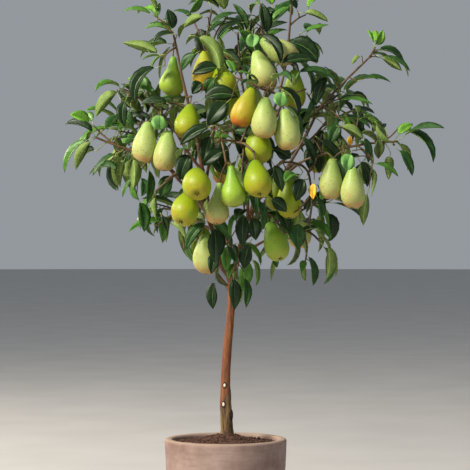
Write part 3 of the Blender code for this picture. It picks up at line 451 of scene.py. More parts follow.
MASSES = (
    Mass("foliage_top", Part.TOP, "trunk",
         ((0.096, 0.000, 1.200), (0.088, 0.000, 1.290), (0.084, 0.002, 1.345)),
         ((0.30, (0.052, 0.045, 1.270)), (0.62, (0.120, 0.030, 1.330))),
         ((Pear(0.087, -0.140, 1.171, 0.33, -0.10, Skin.PALE),
           Pear(0.126, -0.100, 1.222, 0.84, -0.10, Skin.PALE, False)),)),
    Mass("foliage_top_left", Part.TOP, "bough_top_left",
         ((-0.038, -0.042, 1.180), (-0.048, -0.044, 1.250), (-0.034, -0.040, 1.325)),
         ((0.50, (0.005, -0.030, 1.310)), (0.40, (-0.078, -0.020, 1.300))),
         ((Pear(-0.006, -0.100, 1.148, 0.20, -0.58),
           Pear(-0.052, -0.080, 1.174, 0.02, -0.10, Skin.AMBER, False)),)),
    Mass("foliage_top_right", Part.TOP, "bough_top_right",
         ((0.154, -0.032, 1.255), (0.160, -0.034, 1.340)),
         ((0.35, (0.200, -0.040, 1.262)), (0.70, (0.195, -0.020, 1.315))),
         ((Pear(0.166, -0.055, 1.130, 0.02, 0.00, Skin.GREEN, False),),)),
    Mass("foliage_top_back", Part.BACK, "bough_top_back",
         ((0.036, 0.130, 1.190), (0.030, 0.145, 1.290)),
         ((0.45, (-0.030, 0.150, 1.250)), (0.45, (0.095, 0.160, 1.235))),
         ((Pear(0.010, 0.175, 1.130, -0.10, 0.20), Pear(0.068, 0.185, 1.120, 0.12, 0.15, Skin.PALE)),)),
    Mass("foliage_left_top", Part.LEFT, "bough_left",
         ((-0.090, -0.090, 1.095), (-0.107, -0.090, 1.168), (-0.119, -0.090, 1.235), (-0.126, -0.090, 1.262)),
         ((0.97, (-0.163, -0.090, 1.300)), (0.72, (-0.147, -0.110, 1.205)), (0.22, (-0.150, -0.060, 1.095))),
         ((Pear(-0.130, -0.040, 1.163, -0.05, 0.05, Skin.LIME, slim=True),),
          (Pear(-0.089, -0.150, 1.049, -0.10, -0.58),)),
         True),
    Mass("foliage_left_mid", Part.LEFT, "bough_left_mid",
         ((-0.160, -0.120, 1.078), (-0.210, -0.120, 1.108), (-0.246, -0.112, 1.124)),
         ((0.40, (-0.190, -0.060, 1.120)),),
         ((Pear(-0.191, -0.160, 0.998, -0.12, -0.05, Skin.PALE),
           Pear(-0.140, -0.180, 0.976, -0.10, -0.10, Skin.PALE)),)),
    Mass("foliage_left_low", Part.LEFT, "bough_left_low",
         ((-0.200, -0.100, 0.975), (-0.256, -0.100, 0.990), (-0.312, -0.100, 1.012)),
         ((0.70, (-0.318, -0.080, 1.042)), (0.20, (-0.210, -0.115, 0.915)), (0.35, (-0.255, -0.040, 0.985)))),
    Mass("foliage_right", Part.RIGHT, "bough_right",
         ((0.226, -0.058, 1.085), (0.290, -0.060, 1.152), (0.352, -0.060, 1.212)),
         ((0.22, (0.195, -0.090, 1.120)), (0.30, (0.280, -0.030, 1.110)), (0.97, (0.362, -0.065, 1.232))),
         (), True),
    Mass("foliage_right_low", Part.RIGHT, "bough_right_low",
         ((0.300, -0.105, 0.990), (0.350, -0.110, 0.998), (0.412, -0.110, 1.002)),
         ((0.30, (0.318, -0.100, 1.060)), (0.80, (0.415, -0.100, 1.035)), (0.45, (0.350, -0.150, 0.950))),
         ((Pear(0.299, -0.220, 0.888, -0.03, 0.0, Skin.PALE),
           Pear(0.249, -0.200, 0.909, -0.06, 0.0, Skin.PALE)),)),
    Mass("foliage_front_high", Part.FRONT, "bough_front_high",
         ((0.136, -0.180, 1.104), (0.110, -0.214, 1.112), (0.082, -0.228, 1.120)),
         ((0.25, (0.190, -0.205, 1.120)), (0.90, (0.020, -0.210, 1.150))),
         ((Pear(0.049, -0.225, 1.075, -0.40, -0.10, Skin.AMBER),
           Pear(0.091, -0.255, 1.049, -0.03, -0.05, Skin.PALE),
           Pear(0.144, -0.240, 1.023, 0.10, -0.05, Skin.PALE)),)),
    Mass("foliage_front", Part.FRONT, "bough_front",
         ((0.046, -0.175, 0.985), (0.020, -0.215, 1.000), (-0.020, -0.235, 0.998)),
         ((0.55, (0.100, -0.190, 0.985)), (0.35, (0.045, -0.205, 0.830)), (0.30, (0.010, -0.150, 1.040))),
         ((Pear(0.078, -0.205, 0.992, 0.02, -0.24, girth=1.08),),
          (Pear(0.074, -0.290, 0.909, 0.10, -0.56, girth=1.08),),
          (Pear(0.018, -0.275, 0.890, 0.02, -0.10, Skin.LIME, slim=True),
           Pear(-0.018, -0.235, 0.851, -0.08, -0.10, Skin.PALE, slim=True)))),
    Mass("foliage_front_left", Part.FRONT, "bough_front_left",
         ((-0.084, -0.195, 0.940), (-0.112, -0.215, 0.925), (-0.140, -0.225, 0.905)),
         ((0.55, (-0.165, -0.190, 0.880)), (0.30, (-0.098, -0.190, 1.010)), (0.20, (-0.040, -0.190, 0.860))),
         ((Pear(-0.066, -0.290, 0.900, 0.05, -0.80, girth=1.08),
           Pear(-0.090, -0.252, 0.843, -0.26, -0.60, girth=1.08)),)),
    Mass("foliage_front_right", Part.FRONT, "bough_front_right",
         ((0.198, -0.140, 0.932), (0.206, -0.178, 0.860), (0.196, -0.198, 0.800)),
         ((0.35, (0.215, -0.195, 0.960)), (0.60, (0.160, -0.215, 0.830))),
         ((Pear(0.124, -0.100, 0.886, 0.0, 0.0, Skin.GREEN, False),
           Pear(0.150, -0.175, 0.865, 0.03, -0.05, Skin.GREEN, False)),)),
    Mass("foliage_low_right", Part.RIGHT, "bough_low_right",
         ((0.158, -0.085, 0.788), (0.202, -0.110, 0.788), (0.224, -0.120, 0.764)),
         ((0.55, (0.190, -0.130, 0.712)), (0.20, (0.150, -0.040, 0.740))),
         ((Pear(0.118, -0.145, 0.764, 0.28, -0.28, Skin.LIME),),)),
    Mass("foliage_low_left", Part.LEFT, "bough_low_left",
         ((-0.090, -0.052, 0.812), (-0.130, -0.078, 0.828), (-0.165, -0.095, 0.800)),
         ((0.40, (-0.098, -0.080, 0.742)),),
         ((Pear(-0.049, -0.105, 0.732, 0.05, -0.05, Skin.PALE, False),),)),
    Mass("foliage_low_front", Part.FRONT, "bough_low_front",
         ((0.018, -0.105, 0.752), (0.004, -0.135, 0.758)),
         ((0.40, (0.058, -0.120, 0.730)), (0.25, (-0.020, -0.090, 0.700)), (0.60, (0.028, -0.145, 0.710)))),
    Mass("foliage_back_left", Part.BACK, "bough_back_left",
         ((-0.205, 0.175, 1.035), (-0.240, 0.215, 1.085)),
         ((0.30, (-0.270, 0.120, 1.040)), (0.45, (-0.170, 0.215, 1.100))),
         ((Pear(-0.213, 0.190, 1.000, -0.08, 0.10, Skin.PALE),),)),
    Mass("foliage_back", Part.BACK, "bough_back",
         ((0.026, 0.225, 1.035), (0.020, 0.270, 1.085)),
         ((0.30, (-0.050, 0.225, 1.060)), (0.45, (0.100, 0.240, 1.060))),
         ((Pear(-0.005, 0.255, 0.955, -0.10, 0.15, Skin.AMBER, slim=True),
           Pear(0.050, 0.250, 0.935, 0.12, 0.10)),)),
    Mass("foliage_back_right", Part.BACK, "bough_back_right",
         ((0.262, 0.175, 1.075), (0.300, 0.210, 1.130)),
         ((0.30, (0.315, 0.110, 1.090)), (0.50, (0.225, 0.230, 1.130))),
         ((Pear(0.238, 0.205, 0.985, 0.0, 0.12), Pear(0.290, 0.170, 0.975, 0.15, 0.05, Skin.PALE)),)),
    Mass("foliage_back_low_left", Part.BACK, "bough_back_low_left",
         ((-0.110, 0.190, 0.840), (-0.160, 0.215, 0.845)),
         ((0.30, (-0.060, 0.225, 0.860)), (0.50, (-0.190, 0.150, 0.860))),
         ((Pear(-0.060, 0.215, 0.752, -0.05, 0.12),),)),
    Mass("foliage_back_low_right", Part.BACK, "bough_back_low_right",
         ((0.215, 0.180, 0.855), (0.262, 0.205, 0.862)),
         ((0.30, (0.130, 0.215, 0.870)), (0.50, (0.290, 0.130, 0.880))),
         ((Pear(0.187, 0.205, 0.792, 0.05, 0.12, Skin.PALE),),)),
)


@dataclass(frozen=True)
class Noted:
    """One leaf that shows clearly in the photo's view.

    It has a depth, its root and tip as seen in the plane through the trunk, its bend in radians (less
    than zero when it bends up), how far its upper side turns to the viewer (1 is full and -1 shows the
    underside), its width and its tone.
    """

    y: float
    root: tuple
    tip: tuple
    bend: float
    face: float
    width: float
    tone: Tone


NOTED = {
    "foliage_left_top": (
        Noted(-0.090, (-0.171, 1.312), (-0.254, 1.325), 0.90, 0.35, 0.027, Tone.FRESH),
        Noted(-0.090, (-0.169, 1.303), (-0.161, 1.347), 0.30, 0.80, 0.020, Tone.FRESH),
        Noted(-0.090, (-0.129, 1.273), (-0.142, 1.332), 0.20, 0.70, 0.034, Tone.DEEP),
        Noted(-0.100, (-0.119, 1.268), (-0.176, 1.249), 1.30, 0.40, 0.029, Tone.DEEP),
        Noted(-0.090, (-0.149, 1.214), (-0.254, 1.249), 0.50, -0.80, 0.029, Tone.MID),
        Noted(-0.120, (-0.149, 1.192), (-0.218, 1.099), 1.90, 0.70, 0.040, Tone.DEEP),
        Noted(-0.140, (-0.068, 1.104), (0.030, 1.116), 1.00, 0.80, 0.047, Tone.DEEP),
    ),
    "foliage_left_mid": (
        Noted(-0.110, (-0.249, 1.136), (-0.318, 1.067), 0.90, -0.70, 0.034, Tone.MID),
        Noted(-0.130, (-0.240, 1.119), (-0.247, 1.043), 0.90, 0.90, 0.032, Tone.DEEP),
        Noted(-0.110, (-0.232, 1.101), (-0.225, 1.040), -0.50, 0.50, 0.022, Tone.MID),
        Noted(-0.140, (-0.132, 1.094), (-0.208, 1.097), 1.20, 0.50, 0.032, Tone.DEEP),
        Noted(-0.200, (-0.159, 1.079), (-0.161, 1.035), 0.30, 1.00, 0.042, Tone.GLAUCOUS),
    ),
    "foliage_left_low": (
        Noted(-0.110, (-0.328, 1.045), (-0.382, 1.072), 0.80, 0.60, 0.037, Tone.YOUNG),
        Noted(-0.100, (-0.257, 1.033), (-0.291, 1.040), 0.30, 0.20, 0.020, Tone.OLIVE),
        Noted(-0.100, (-0.321, 1.018), (-0.394, 0.930), 1.20, 0.45, 0.034, Tone.FRESH),
        Noted(-0.090, (-0.318, 1.016), (-0.367, 0.937), 0.90, -0.80, 0.029, Tone.MID),
        Noted(-0.120, (-0.252, 0.984), (-0.326, 0.922), 0.80, 0.35, 0.029, Tone.MID),
        Noted(-0.110, (-0.279, 0.962), (-0.262, 0.891), -1.20, 0.40, 0.020, Tone.DEEP),
        Noted(-0.100, (-0.245, 0.969), (-0.259, 0.922), 0.30, -0.70, 0.022, Tone.OLIVE),
        Noted(-0.130, (-0.230, 0.979), (-0.227, 0.888), 0.50, -0.90, 0.034, Tone.FRESH),
        Noted(-0.110, (-0.191, 0.954), (-0.193, 0.856), -0.50, 0.60, 0.027, Tone.MID),
        Noted(-0.120, (-0.119, 0.927), (-0.161, 0.871), 0.50, 0.90, 0.044, Tone.MID),
        Noted(-0.110, (-0.218, 0.873), (-0.200, 0.785), 0.60, 0.70, 0.037, Tone.MID),
    ),
    "foliage_low_left": (
        Noted(-0.100, (-0.144, 0.812), (-0.097, 0.768), 0.60, -0.40, 0.029, Tone.OLIVE),
        Noted(-0.100, (-0.161, 0.832), (-0.142, 0.785), 0.40, 0.80, 0.022, Tone.DEEP),
        Noted(-0.110, (-0.034, 0.817), (-0.097, 0.741), 0.80, 0.70, 0.032, Tone.MID),
    ),
    "foliage_front_left": (
        Noted(-0.220, (-0.080, 0.986), (-0.112, 0.912), 0.50, 1.00, 0.046, Tone.DEEP),
        Noted(-0.170, (-0.031, 0.812), (-0.026, 0.708), 0.30, 0.90, 0.048, Tone.DEEP),
    ),
    "foliage_front": (
        Noted(-0.225, (-0.024, 1.046), (-0.112, 0.998), 0.70, 0.80, 0.034, Tone.DEEP),
        Noted(-0.150, (-0.031, 1.033), (-0.053, 0.954), 0.30, 0.90, 0.044, Tone.DEEP),
        Noted(-0.180, (-0.012, 1.027), (0.006, 0.954), -0.30, 0.80, 0.036, Tone.DEEP),
        Noted(-0.170, (0.010, 1.040), (0.047, 0.957), 0.50, 0.70, 0.036, Tone.DEEP),
        Noted(-0.190, (-0.038, 0.974), (0.001, 0.925), 0.40, 0.90, 0.040, Tone.DEEP),
        Noted(-0.200, (0.108, 0.990), (0.160, 0.965), 0.60, 0.90, 0.042, Tone.DEEP),
        Noted(-0.200, (0.006, 0.986), (-0.056, 0.947), 0.60, 0.90, 0.039, Tone.DEEP),
        Noted(-0.190, (0.047, 0.846), (0.042, 0.746), 0.20, 0.90, 0.037, Tone.DEEP),
        Noted(-0.210, (0.111, 0.962), (0.138, 0.883), 0.40, 0.90, 0.032, Tone.DEEP),
        Noted(-0.210, (0.101, 0.868), (0.150, 0.834), 0.60, 0.90, 0.034, Tone.DEEP),
    ),
    "foliage_top_left": (
        Noted(-0.100, (-0.090, 1.268), (-0.019, 1.173), 1.70, -0.80, 0.039, Tone.FRESH),
        Noted(-0.080, (-0.043, 1.312), (-0.102, 1.285), 1.10, -0.70, 0.025, Tone.MID),
        Noted(-0.135, (-0.006, 1.187), (-0.082, 1.172), 0.70, 0.80, 0.036, Tone.DEEP),
        Noted(-0.125, (-0.064, 1.228), (-0.108, 1.180), 0.80, 0.60, 0.032, Tone.MID),
        Noted(-0.145, (-0.020, 1.168), (-0.050, 1.126), 0.40, 0.90, 0.032, Tone.MID),
        Noted(-0.130, (-0.050, 1.154), (-0.083, 1.123), 0.50, 0.90, 0.034, Tone.DEEP),
        Noted(-0.060, (-0.097, 1.317), (-0.056, 1.364), -0.40, 0.50, 0.027, Tone.FRESH),
    ),
    "foliage_top": (
        Noted(-0.030, (0.055, 1.317), (-0.041, 1.278), 1.40, 0.35, 0.029, Tone.MID),
        Noted(-0.040, (0.057, 1.300), (-0.021, 1.256), 1.10, 0.50, 0.029, Tone.DEEP),
        Noted(-0.060, (0.099, 1.258), (0.089, 1.347), 0.15, 0.80, 0.039, Tone.DEEP),
        Noted(-0.020, (0.111, 1.295), (0.160, 1.335), 0.90, 0.40, 0.025, Tone.FRESH),
        Noted(-0.150, (0.065, 1.278), (0.067, 1.236), 0.20, 1.00, 0.039, Tone.GLAUCOUS),
    ),
    "foliage_top_right": (
        Noted(-0.040, (0.180, 1.322), (0.251, 1.300), 0.80, -0.50, 0.025, Tone.MID),
        Noted(-0.040, (0.180, 1.271), (0.253, 1.293), 0.30, 0.40, 0.022, Tone.FRESH),
        Noted(-0.030, (0.177, 1.325), (0.153, 1.359), 0.30, 0.60, 0.025, Tone.DEEP),
        Noted(-0.060, (0.141, 1.251), (0.226, 1.200), 1.20, 0.90, 0.052, Tone.DEEP),
        Noted(-0.090, (0.104, 1.214), (0.224, 1.197), 1.30, -0.70, 0.029, Tone.OLIVE),
        Noted(-0.110, (0.121, 1.190), (0.217, 1.207), 0.70, 0.70, 0.034, Tone.DEEP),
        Noted(-0.100, (0.158, 1.165), (0.273, 1.151), 1.50, 0.50, 0.029, Tone.MID),
    ),
    "foliage_right": (
        Noted(-0.090, (0.258, 1.178), (0.221, 1.094), 0.60, 0.80, 0.034, Tone.DEEP),
        Noted(-0.080, (0.214, 1.131), (0.192, 1.067), -0.50, 0.50, 0.025, Tone.MID),
        Noted(-0.060, (0.275, 1.065), (0.187, 1.057), 0.80, 0.40, 0.025, Tone.OLIVE),
        Noted(-0.070, (0.261, 1.101), (0.361, 1.097), 0.90, 0.30, 0.027, Tone.FRESH),
        Noted(-0.070, (0.322, 1.155), (0.405, 1.151), 0.90, 0.30, 0.027, Tone.MID),
        Noted(-0.070, (0.369, 1.217), (0.452, 1.178), 0.80, 0.35, 0.029, Tone.MID),
        Noted(-0.050, (0.371, 1.214), (0.432, 1.180), 0.60, -0.80, 0.027, Tone.FRESH),
        Noted(-0.060, (0.361, 1.239), (0.386, 1.281), -0.50, 0.80, 0.029, Tone.YOUNG),
        Noted(-0.060, (0.334, 1.217), (0.310, 1.197), 0.40, -0.50, 0.020, Tone.OLIVE),
        Noted(-0.050, (0.312, 1.077), (0.293, 1.106), 0.30, 0.50, 0.020, Tone.DEEP),
        Noted(-0.040, (0.280, 1.065), (0.354, 1.038), 1.10, 0.40, 0.027, Tone.MID),
        Noted(-0.100, (0.288, 1.055), (0.256, 1.001), 0.50, 0.90, 0.039, Tone.MID),
        Noted(-0.100, (0.177, 1.030), (0.221, 0.947), 0.50, 0.70, 0.029, Tone.DEEP),
    ),
    "foliage_right_low": (
        Noted(-0.120, (0.271, 1.045), (0.337, 1.013), 0.70, -0.80, 0.029, Tone.OLIVE),
        Noted(-0.140, (0.307, 1.025), (0.305, 0.996), 0.10, 0.80, 0.017, Tone.GOLD),
        Noted(-0.130, (0.334, 1.028), (0.349, 0.954), 0.60, 0.70, 0.025, Tone.MID),
        Noted(-0.120, (0.371, 1.023), (0.374, 0.964), 0.20, 0.90, 0.032, Tone.OLIVE),
        Noted(-0.110, (0.415, 0.998), (0.369, 1.048), -0.50, -0.50, 0.029, Tone.OLIVE),
        Noted(-0.110, (0.418, 1.016), (0.459, 1.050), 0.50, 0.70, 0.029, Tone.YOUNG),
        Noted(-0.110, (0.413, 0.996), (0.457, 0.922), 0.70, 0.60, 0.032, Tone.MID),
        Noted(-0.150, (0.354, 0.954), (0.423, 0.920), 0.80, 0.40, 0.027, Tone.FRESH),
        Noted(-0.160, (0.322, 0.969), (0.347, 0.895), 0.70, 0.80, 0.029, Tone.DEEP),
        Noted(-0.160, (0.352, 0.895), (0.337, 0.800), 0.30, -0.90, 0.029, Tone.FRESH),
        Noted(-0.130, (0.219, 1.021), (0.288, 0.954), 0.30, 0.80, 0.032, Tone.DEEP),
        Noted(-0.060, (0.217, 1.010), (0.205, 0.937), 0.30, 0.90, 0.034, Tone.DEEP),
        Noted(-0.050, (0.240, 1.005), (0.229, 0.928), 0.30, 0.80, 0.032, Tone.DEEP),
        Noted(-0.260, (0.310, 0.984), (0.293, 0.937), 0.20, 1.00, 0.039, Tone.GLAUCOUS),
    ),
    "foliage_front_high": (
        Noted(-0.280, (0.141, 1.136), (0.133, 1.092), 0.20, 1.00, 0.039, Tone.GLAUCOUS),
        Noted(-0.180, (0.014, 1.112), (-0.045, 1.045), 0.40, 0.95, 0.050, Tone.DEEP),
    ),
    "foliage_front_right": (
        Noted(-0.200, (0.199, 0.925), (0.172, 0.859), 0.50, 1.00, 0.039, Tone.DEEP),
        Noted(-0.210, (0.217, 0.913), (0.214, 0.864), 0.20, 0.80, 0.022, Tone.GOLD),
        Noted(-0.190, (0.221, 0.878), (0.236, 0.817), 0.50, 0.70, 0.025, Tone.MID),
        Noted(-0.200, (0.182, 0.819), (0.177, 0.741), 0.30, 1.00, 0.047, Tone.MID),
        Noted(-0.180, (0.114, 0.859), (0.155, 0.785), 0.60, 0.90, 0.039, Tone.DEEP),
    ),
    "foliage_low_right": (
        Noted(-0.170, (0.246, 0.765), (0.248, 0.672), 0.70, -0.70, 0.037, Tone.FRESH),
        Noted(-0.130, (0.195, 0.738), (0.214, 0.653), 0.70, 0.50, 0.032, Tone.MID),
        Noted(-0.060, (0.109, 0.736), (0.126, 0.697), 0.30, 0.70, 0.022, Tone.MID),
    ),
    "foliage_low_front": (
        Noted(-0.090, (-0.024, 0.675), (-0.031, 0.596), 0.40, 0.80, 0.034, Tone.DEEP),
        Noted(-0.135, (-0.014, 0.742), (-0.036, 0.682), 0.40, 0.90, 0.034, Tone.DEEP),
        Noted(-0.150, (0.064, 0.768), (0.044, 0.694), 0.30, 0.90, 0.038, Tone.DEEP),
        Noted(-0.150, (0.060, 0.832), (0.074, 0.764), 0.30, 0.90, 0.038, Tone.DEEP),
        Noted(-0.145, (0.017, 0.684), (0.022, 0.594), 0.20, 0.80, 0.034, Tone.DEEP),
        Noted(-0.120, (0.044, 0.687), (0.050, 0.599), 0.30, 0.70, 0.028, Tone.MID),
    ),
}

# Gaps in the crown where the sky shows: X, Z and radius, as seen in the plane through the trunk.
SKY_GAPS = (
    (-0.088, 1.170, 0.015), (-0.024, 1.057, 0.010), (0.008, 1.254, 0.017), (0.190, 1.138, 0.020),
    (0.202, 1.099, 0.015), (0.170, 1.285, 0.012), (0.234, 1.052, 0.012), (0.214, 1.030, 0.010),
    (0.283, 1.033, 0.010), (-0.048, 0.947, 0.008), (0.013, 0.986, 0.008), (-0.178, 0.908, 0.012),
    (0.175, 0.962, 0.012), (0.217, 0.920, 0.015), (0.195, 0.881, 0.012), (0.329, 0.986, 0.010),
    (0.266, 0.837, 0.015), (0.212, 0.834, 0.012), (0.207, 0.765, 0.017),
)
# The open air round the crown's outer leaves.
OPEN_AIR = (
    (-0.308, 1.207, 0.054), (-0.264, 1.178, 0.027), (-0.222, 1.283, 0.020), (-0.353, 1.114, 0.032),
    (-0.311, 1.043, 0.010), (-0.299, 0.984, 0.012), (-0.357, 0.898, 0.029), (-0.308, 0.871, 0.034),
    (-0.269, 0.846, 0.025), (-0.245, 0.819, 0.025), (-0.208, 0.748, 0.034), (-0.146, 0.711, 0.047),
    (-0.097, 0.677, 0.039), (-0.186, 1.146, 0.010), (0.280, 1.244, 0.032), (0.293, 1.182, 0.017),
    (0.418, 1.114, 0.034), (0.388, 1.079, 0.020), (0.393, 0.881, 0.032), (0.435, 0.888, 0.027),
    (0.420, 1.273, 0.032), (0.305, 1.300, 0.042), (0.329, 1.136, 0.010), (0.295, 0.751, 0.034),
    (0.315, 0.800, 0.022), (0.393, 0.800, 0.049), (0.158, 0.653, 0.034), (0.197, 0.616, 0.034),
    (0.121, 0.638, 0.022), (0.280, 0.638, 0.034), (0.307, 0.707, 0.029), (-0.392, 1.020, 0.028),
    (0.4325, 1.079, 0.030), (0.4717, 1.084, 0.030),
)


def linear(code: str, alpha: float = 1.0) -> tuple:
    """Turn an sRGB hex colour into linear values.

    Args:
        code: six hex digits after a hash.
        alpha: the fourth value.

    Returns:
        Red, green, blue and alpha.
    """
    shares = [int(code[place:place + 2], 16) / 255.0 for place in (1, 3, 5)]
    values = [share / 12.92 if share <= 0.04045 else ((share + 0.055) / 1.055) ** 2.4 for share in shares]
    return (*values, alpha)


Socket = bpy.types.NodeSocket


def add_node(tree: bpy.types.NodeTree, kind: str, settings: Optional[dict] = None,
             inputs: Optional[dict] = None, stops: Sequence = ()) -> bpy.types.Node:
    """Add a node with its settings, its values and what feeds it.

    Args:
        tree: the node tree.
        kind: the node's type.
        settings: properties of the node by name.
        inputs: by name or number, a value, or another node's output to link.
        stops: places and colours, for a colour ramp.

    Returns:
        The new node.
    """
    node = tree.nodes.new(kind)
    for name, value in (settings or {}).items():
        setattr(node, name, value)
    for name, value in (inputs or {}).items():
        if isinstance(value, Socket):
            tree.links.new(value, node.inputs[name])
        else:
            node.inputs[name].default_value = value
    for index, (place, colour) in enumerate(stops):
        marks = node.color_ramp.elements
        mark = marks[index] if index < 2 else marks.new(place)
        mark.position = place
        mark.color = colour
    return node


class Graph:
    """The nodes of one material, and the steps that its finish is put together from."""

    colour_mix = {"data_type": "RGBA", "clamp_factor": True}
    factor, colour_a, colour_b, mixed = 0, 6, 7, 2

    def __init__(self, material: bpy.types.Material) -> None:
        """Start with the shader and the object's own coordinates.

        Args:
            material: the material, still new.
        """
        material.use_nodes = True
        self.tree = material.node_tree
        self.shader = self.tree.nodes["Principled BSDF"]
        self.place = add_node(self.tree, "ShaderNodeTexCoord").outputs["Object"]

    def value(self, name: str, number: float) -> None:
        """Set one of the shader's own values."""
        self.shader.inputs[name].default_value = number

    def axis(self, name: str) -> Socket:
        """The X, Y or Z of the coordinates."""
        return add_node(self.tree, "ShaderNodeSeparateXYZ", inputs={"Vector": self.place}).outputs[name]

    def mark(self, name: str) -> Socket:
        """A number that the mesh holds at each point."""
        return add_node(self.tree, "ShaderNodeAttribute", {"attribute_name": name}).outputs["Fac"]

    def upright(self, scale: float) -> Socket:
        """The coordinates with all heights scaled: less than one draws a pattern out upwards."""
        scales = {"Vector": self.place, "Scale": (1.0, 1.0, scale)}
        return add_node(self.tree, "ShaderNodeMapping", inputs=scales).outputs["Vector"]

    def noise(self, pitch: float, detail: float, roughness: float = 0.5,
              place: Optional[Socket] = None) -> Socket:
        """Cloudy noise.

        Args:
            pitch: about how far its lumps are apart.
            detail: how many finer layers it has.
            roughness: how strong they are.
            place: coordinates other than the object's own.

        Returns:
            The noise, about 0.5 in the mean.
        """
        return add_node(self.tree, "ShaderNodeTexNoise", inputs={
            "Vector": self.place if place is None else place, "Scale": 1.0 / pitch, "Detail": detail,
            "Roughness": roughness}).outputs["Fac"]

    def pores(self, pitch: float, edge: float, heart: float, most: float) -> Socket:
        """Round pores at random places.

        Args:
            pitch: about how far they are apart.
            edge: their radius, as a share of the pitch.
            heart: the radius of their full middle.
            most: the share at the middle.

        Returns:
            The share of the pore's colour.
        """
        cells = add_node(self.tree, "ShaderNodeTexVoronoi", inputs={
            "Vector": self.place, "Scale": 1.0 / pitch})
        return self.share(cells.outputs["Distance"], edge, heart, most)

    def ramp(self, value: Socket, *stops: tuple) -> Socket:
        """A colour for each value, between stops of a value and an sRGB hex colour."""
        marks = [(place, linear(code)) for place, code in stops]
        return add_node(self.tree, "ShaderNodeValToRGB", inputs={"Fac": value}, stops=marks).outputs["Color"]

    def share(self, value: Socket, none: float, full: float, most: float = 1.0, soft: bool = False) -> Socket:
        """A share that rises between two values.

        Args:
            value: what it follows.
            none: the value where it begins.
            full: the value where it is full.
            most: the full share.
            soft: whether it eases in and out.

        Returns:
            The share.
        """
        settings = {"interpolation_type": "SMOOTHSTEP" if soft else "LINEAR"}
        return add_node(self.tree, "ShaderNodeMapRange", settings, {
            "Value": value, "From Min": none, "From Max": full, "To Max": most}).outputs["Result"]

    def mix(self, share: Socket, under: Socket, over: object) -> Socket:
        """Lay a colour over another by a share.

        Args:
            share: how much of it shows.
            under: the colour below.
            over: the colour laid over it, as a socket or an sRGB hex code.

        Returns:
            The colour of both.
        """
        over = linear(over) if isinstance(over, str) else over
        return add_node(self.tree, "ShaderNodeMix", self.colour_mix, {
            self.factor: share, self.colour_a: under, self.colour_b: over}).outputs[self.mixed]

    def maths(self, operation: str, *values: object) -> Socket:
        """One step of arithmetic on sockets and numbers."""
        settings = {"operation": operation}
        return add_node(self.tree, "ShaderNodeMath", settings, dict(enumerate(values))).outputs["Value"]

    def wax(self, gloss: float, roughness: float) -> None:
        """Cover the surface with dulled wax.

        Args:
            gloss: how much of it there is.
            roughness: how rough it is.
        """
        self.value("Specular IOR Level", DULLED_WAX)
        self.value("Coat Weight", gloss)
        self.value("Coat Roughness", roughness)

    def cover(self, colour: Socket, height: Socket, strength: float, depth: float) -> None:
        """Give the surface its colour and its relief.

        Args:
            colour: the base colour.
            height: the relief's height, from 0 to 1.
            strength: how strongly it shows.
            depth: its depth.
        """
        bump = add_node(self.tree, "ShaderNodeBump", inputs={
            "Height": height, "Strength": strength, "Distance": depth})
        self.tree.links.new(colour, self.shader.inputs["Base Color"])
        self.tree.links.new(bump.outputs["Normal"], self.shader.inputs["Normal"])


@dataclass(frozen=True)
class Finish:
    """What all finishes share: a name, a roughness and an IOR, on a Principled shader."""

    name: str
    roughness: float = 0.5
    ior: float = 1.5

    def material(self) -> bpy.types.Material:
        """The material, made when it is first asked for.

        Returns:
            The material.
        """
        found = bpy.data.materials.get(self.name)
        if found:
            return found
        material = bpy.data.materials.new(self.name)
        graph = Graph(material)
        graph.value("Roughness", self.roughness)
        graph.value("IOR", self.ior)
        graph.value("Metallic", 0.0)
        self.dress(graph)
        return material

    def dress(self, graph: Graph) -> None:
        """Add the pattern of this finish. Each finish has its own."""
        raise NotImplementedError


@dataclass(frozen=True)
class Limewash(Finish):
    """Fired terracotta, hand thrown and brushed with thin limewash: dusty, pinkish grey, with cloudy
    pale patches and level brush streaks, and a paler rim, which is a painted highlight where the lip catches
    the light."""

    clay: str = "#7b6157"
    wash: str = "#8e776d"
    bloom: str = "#a18b80"
    # rim: the colour of the painted highlight on the lip.
    rim: str = "#96826f"
    stain: str = "#6c554b"

    def dress(self, graph: Graph) -> None:
        """Patches 60 mm apart, streaks 65 mm long and 9 mm apart, grain of 1.5 mm, and a painted highlight on
        the top 7 mm of the rim.

        Args:
            graph: the material's nodes.
        """
        cloud = graph.noise(60 * MM, detail=5.0, roughness=0.6)
        wash = graph.ramp(cloud, (0.30, self.clay), (0.50, self.wash), (0.74, self.bloom))
        streak = graph.noise(65 * MM, detail=4.0, place=graph.upright(7.0))
        streaked = graph.mix(graph.share(streak, 0.50, 0.75, most=0.4), wash, self.stain)
        # The top 7 mm are painted towards the rim colour: a painted highlight on the lip.
        lit_rim = graph.share(graph.axis("Z"), POT_HEIGHT - 7 * MM, POT_HEIGHT, most=0.85, soft=True)
        grain = graph.noise(1.5 * MM, detail=2.0)
        graph.cover(graph.mix(lit_rim, streaked, self.rim), grain, strength=0.35, depth=0.6 * MM)


@dataclass(frozen=True)
class Compost(Finish):
    """Moist potting soil: brown on its crumbs and near black in its hollows, where the dark is painted shade,
    with no gloss.
    """

    dark: str = "#20130d"
    brown: str = "#4a2d1e"
    dry: str = "#6e4733"

    def dress(self, graph: Graph) -> None:
        """Crumbs of 4 mm, with painted shade dark between them and the paler dry brown on their tops.

        Args:
            graph: the material's nodes.
        """
        crumb = graph.noise(4 * MM, detail=4.0, roughness=0.7)
        # The colour follows the same noise as the relief: painted shade, near black in the hollows.
        colour = graph.ramp(crumb, (0.32, self.dark), (0.55, self.brown), (0.75, self.dry))
        graph.cover(colour, crumb, strength=0.8, depth=2 * MM)


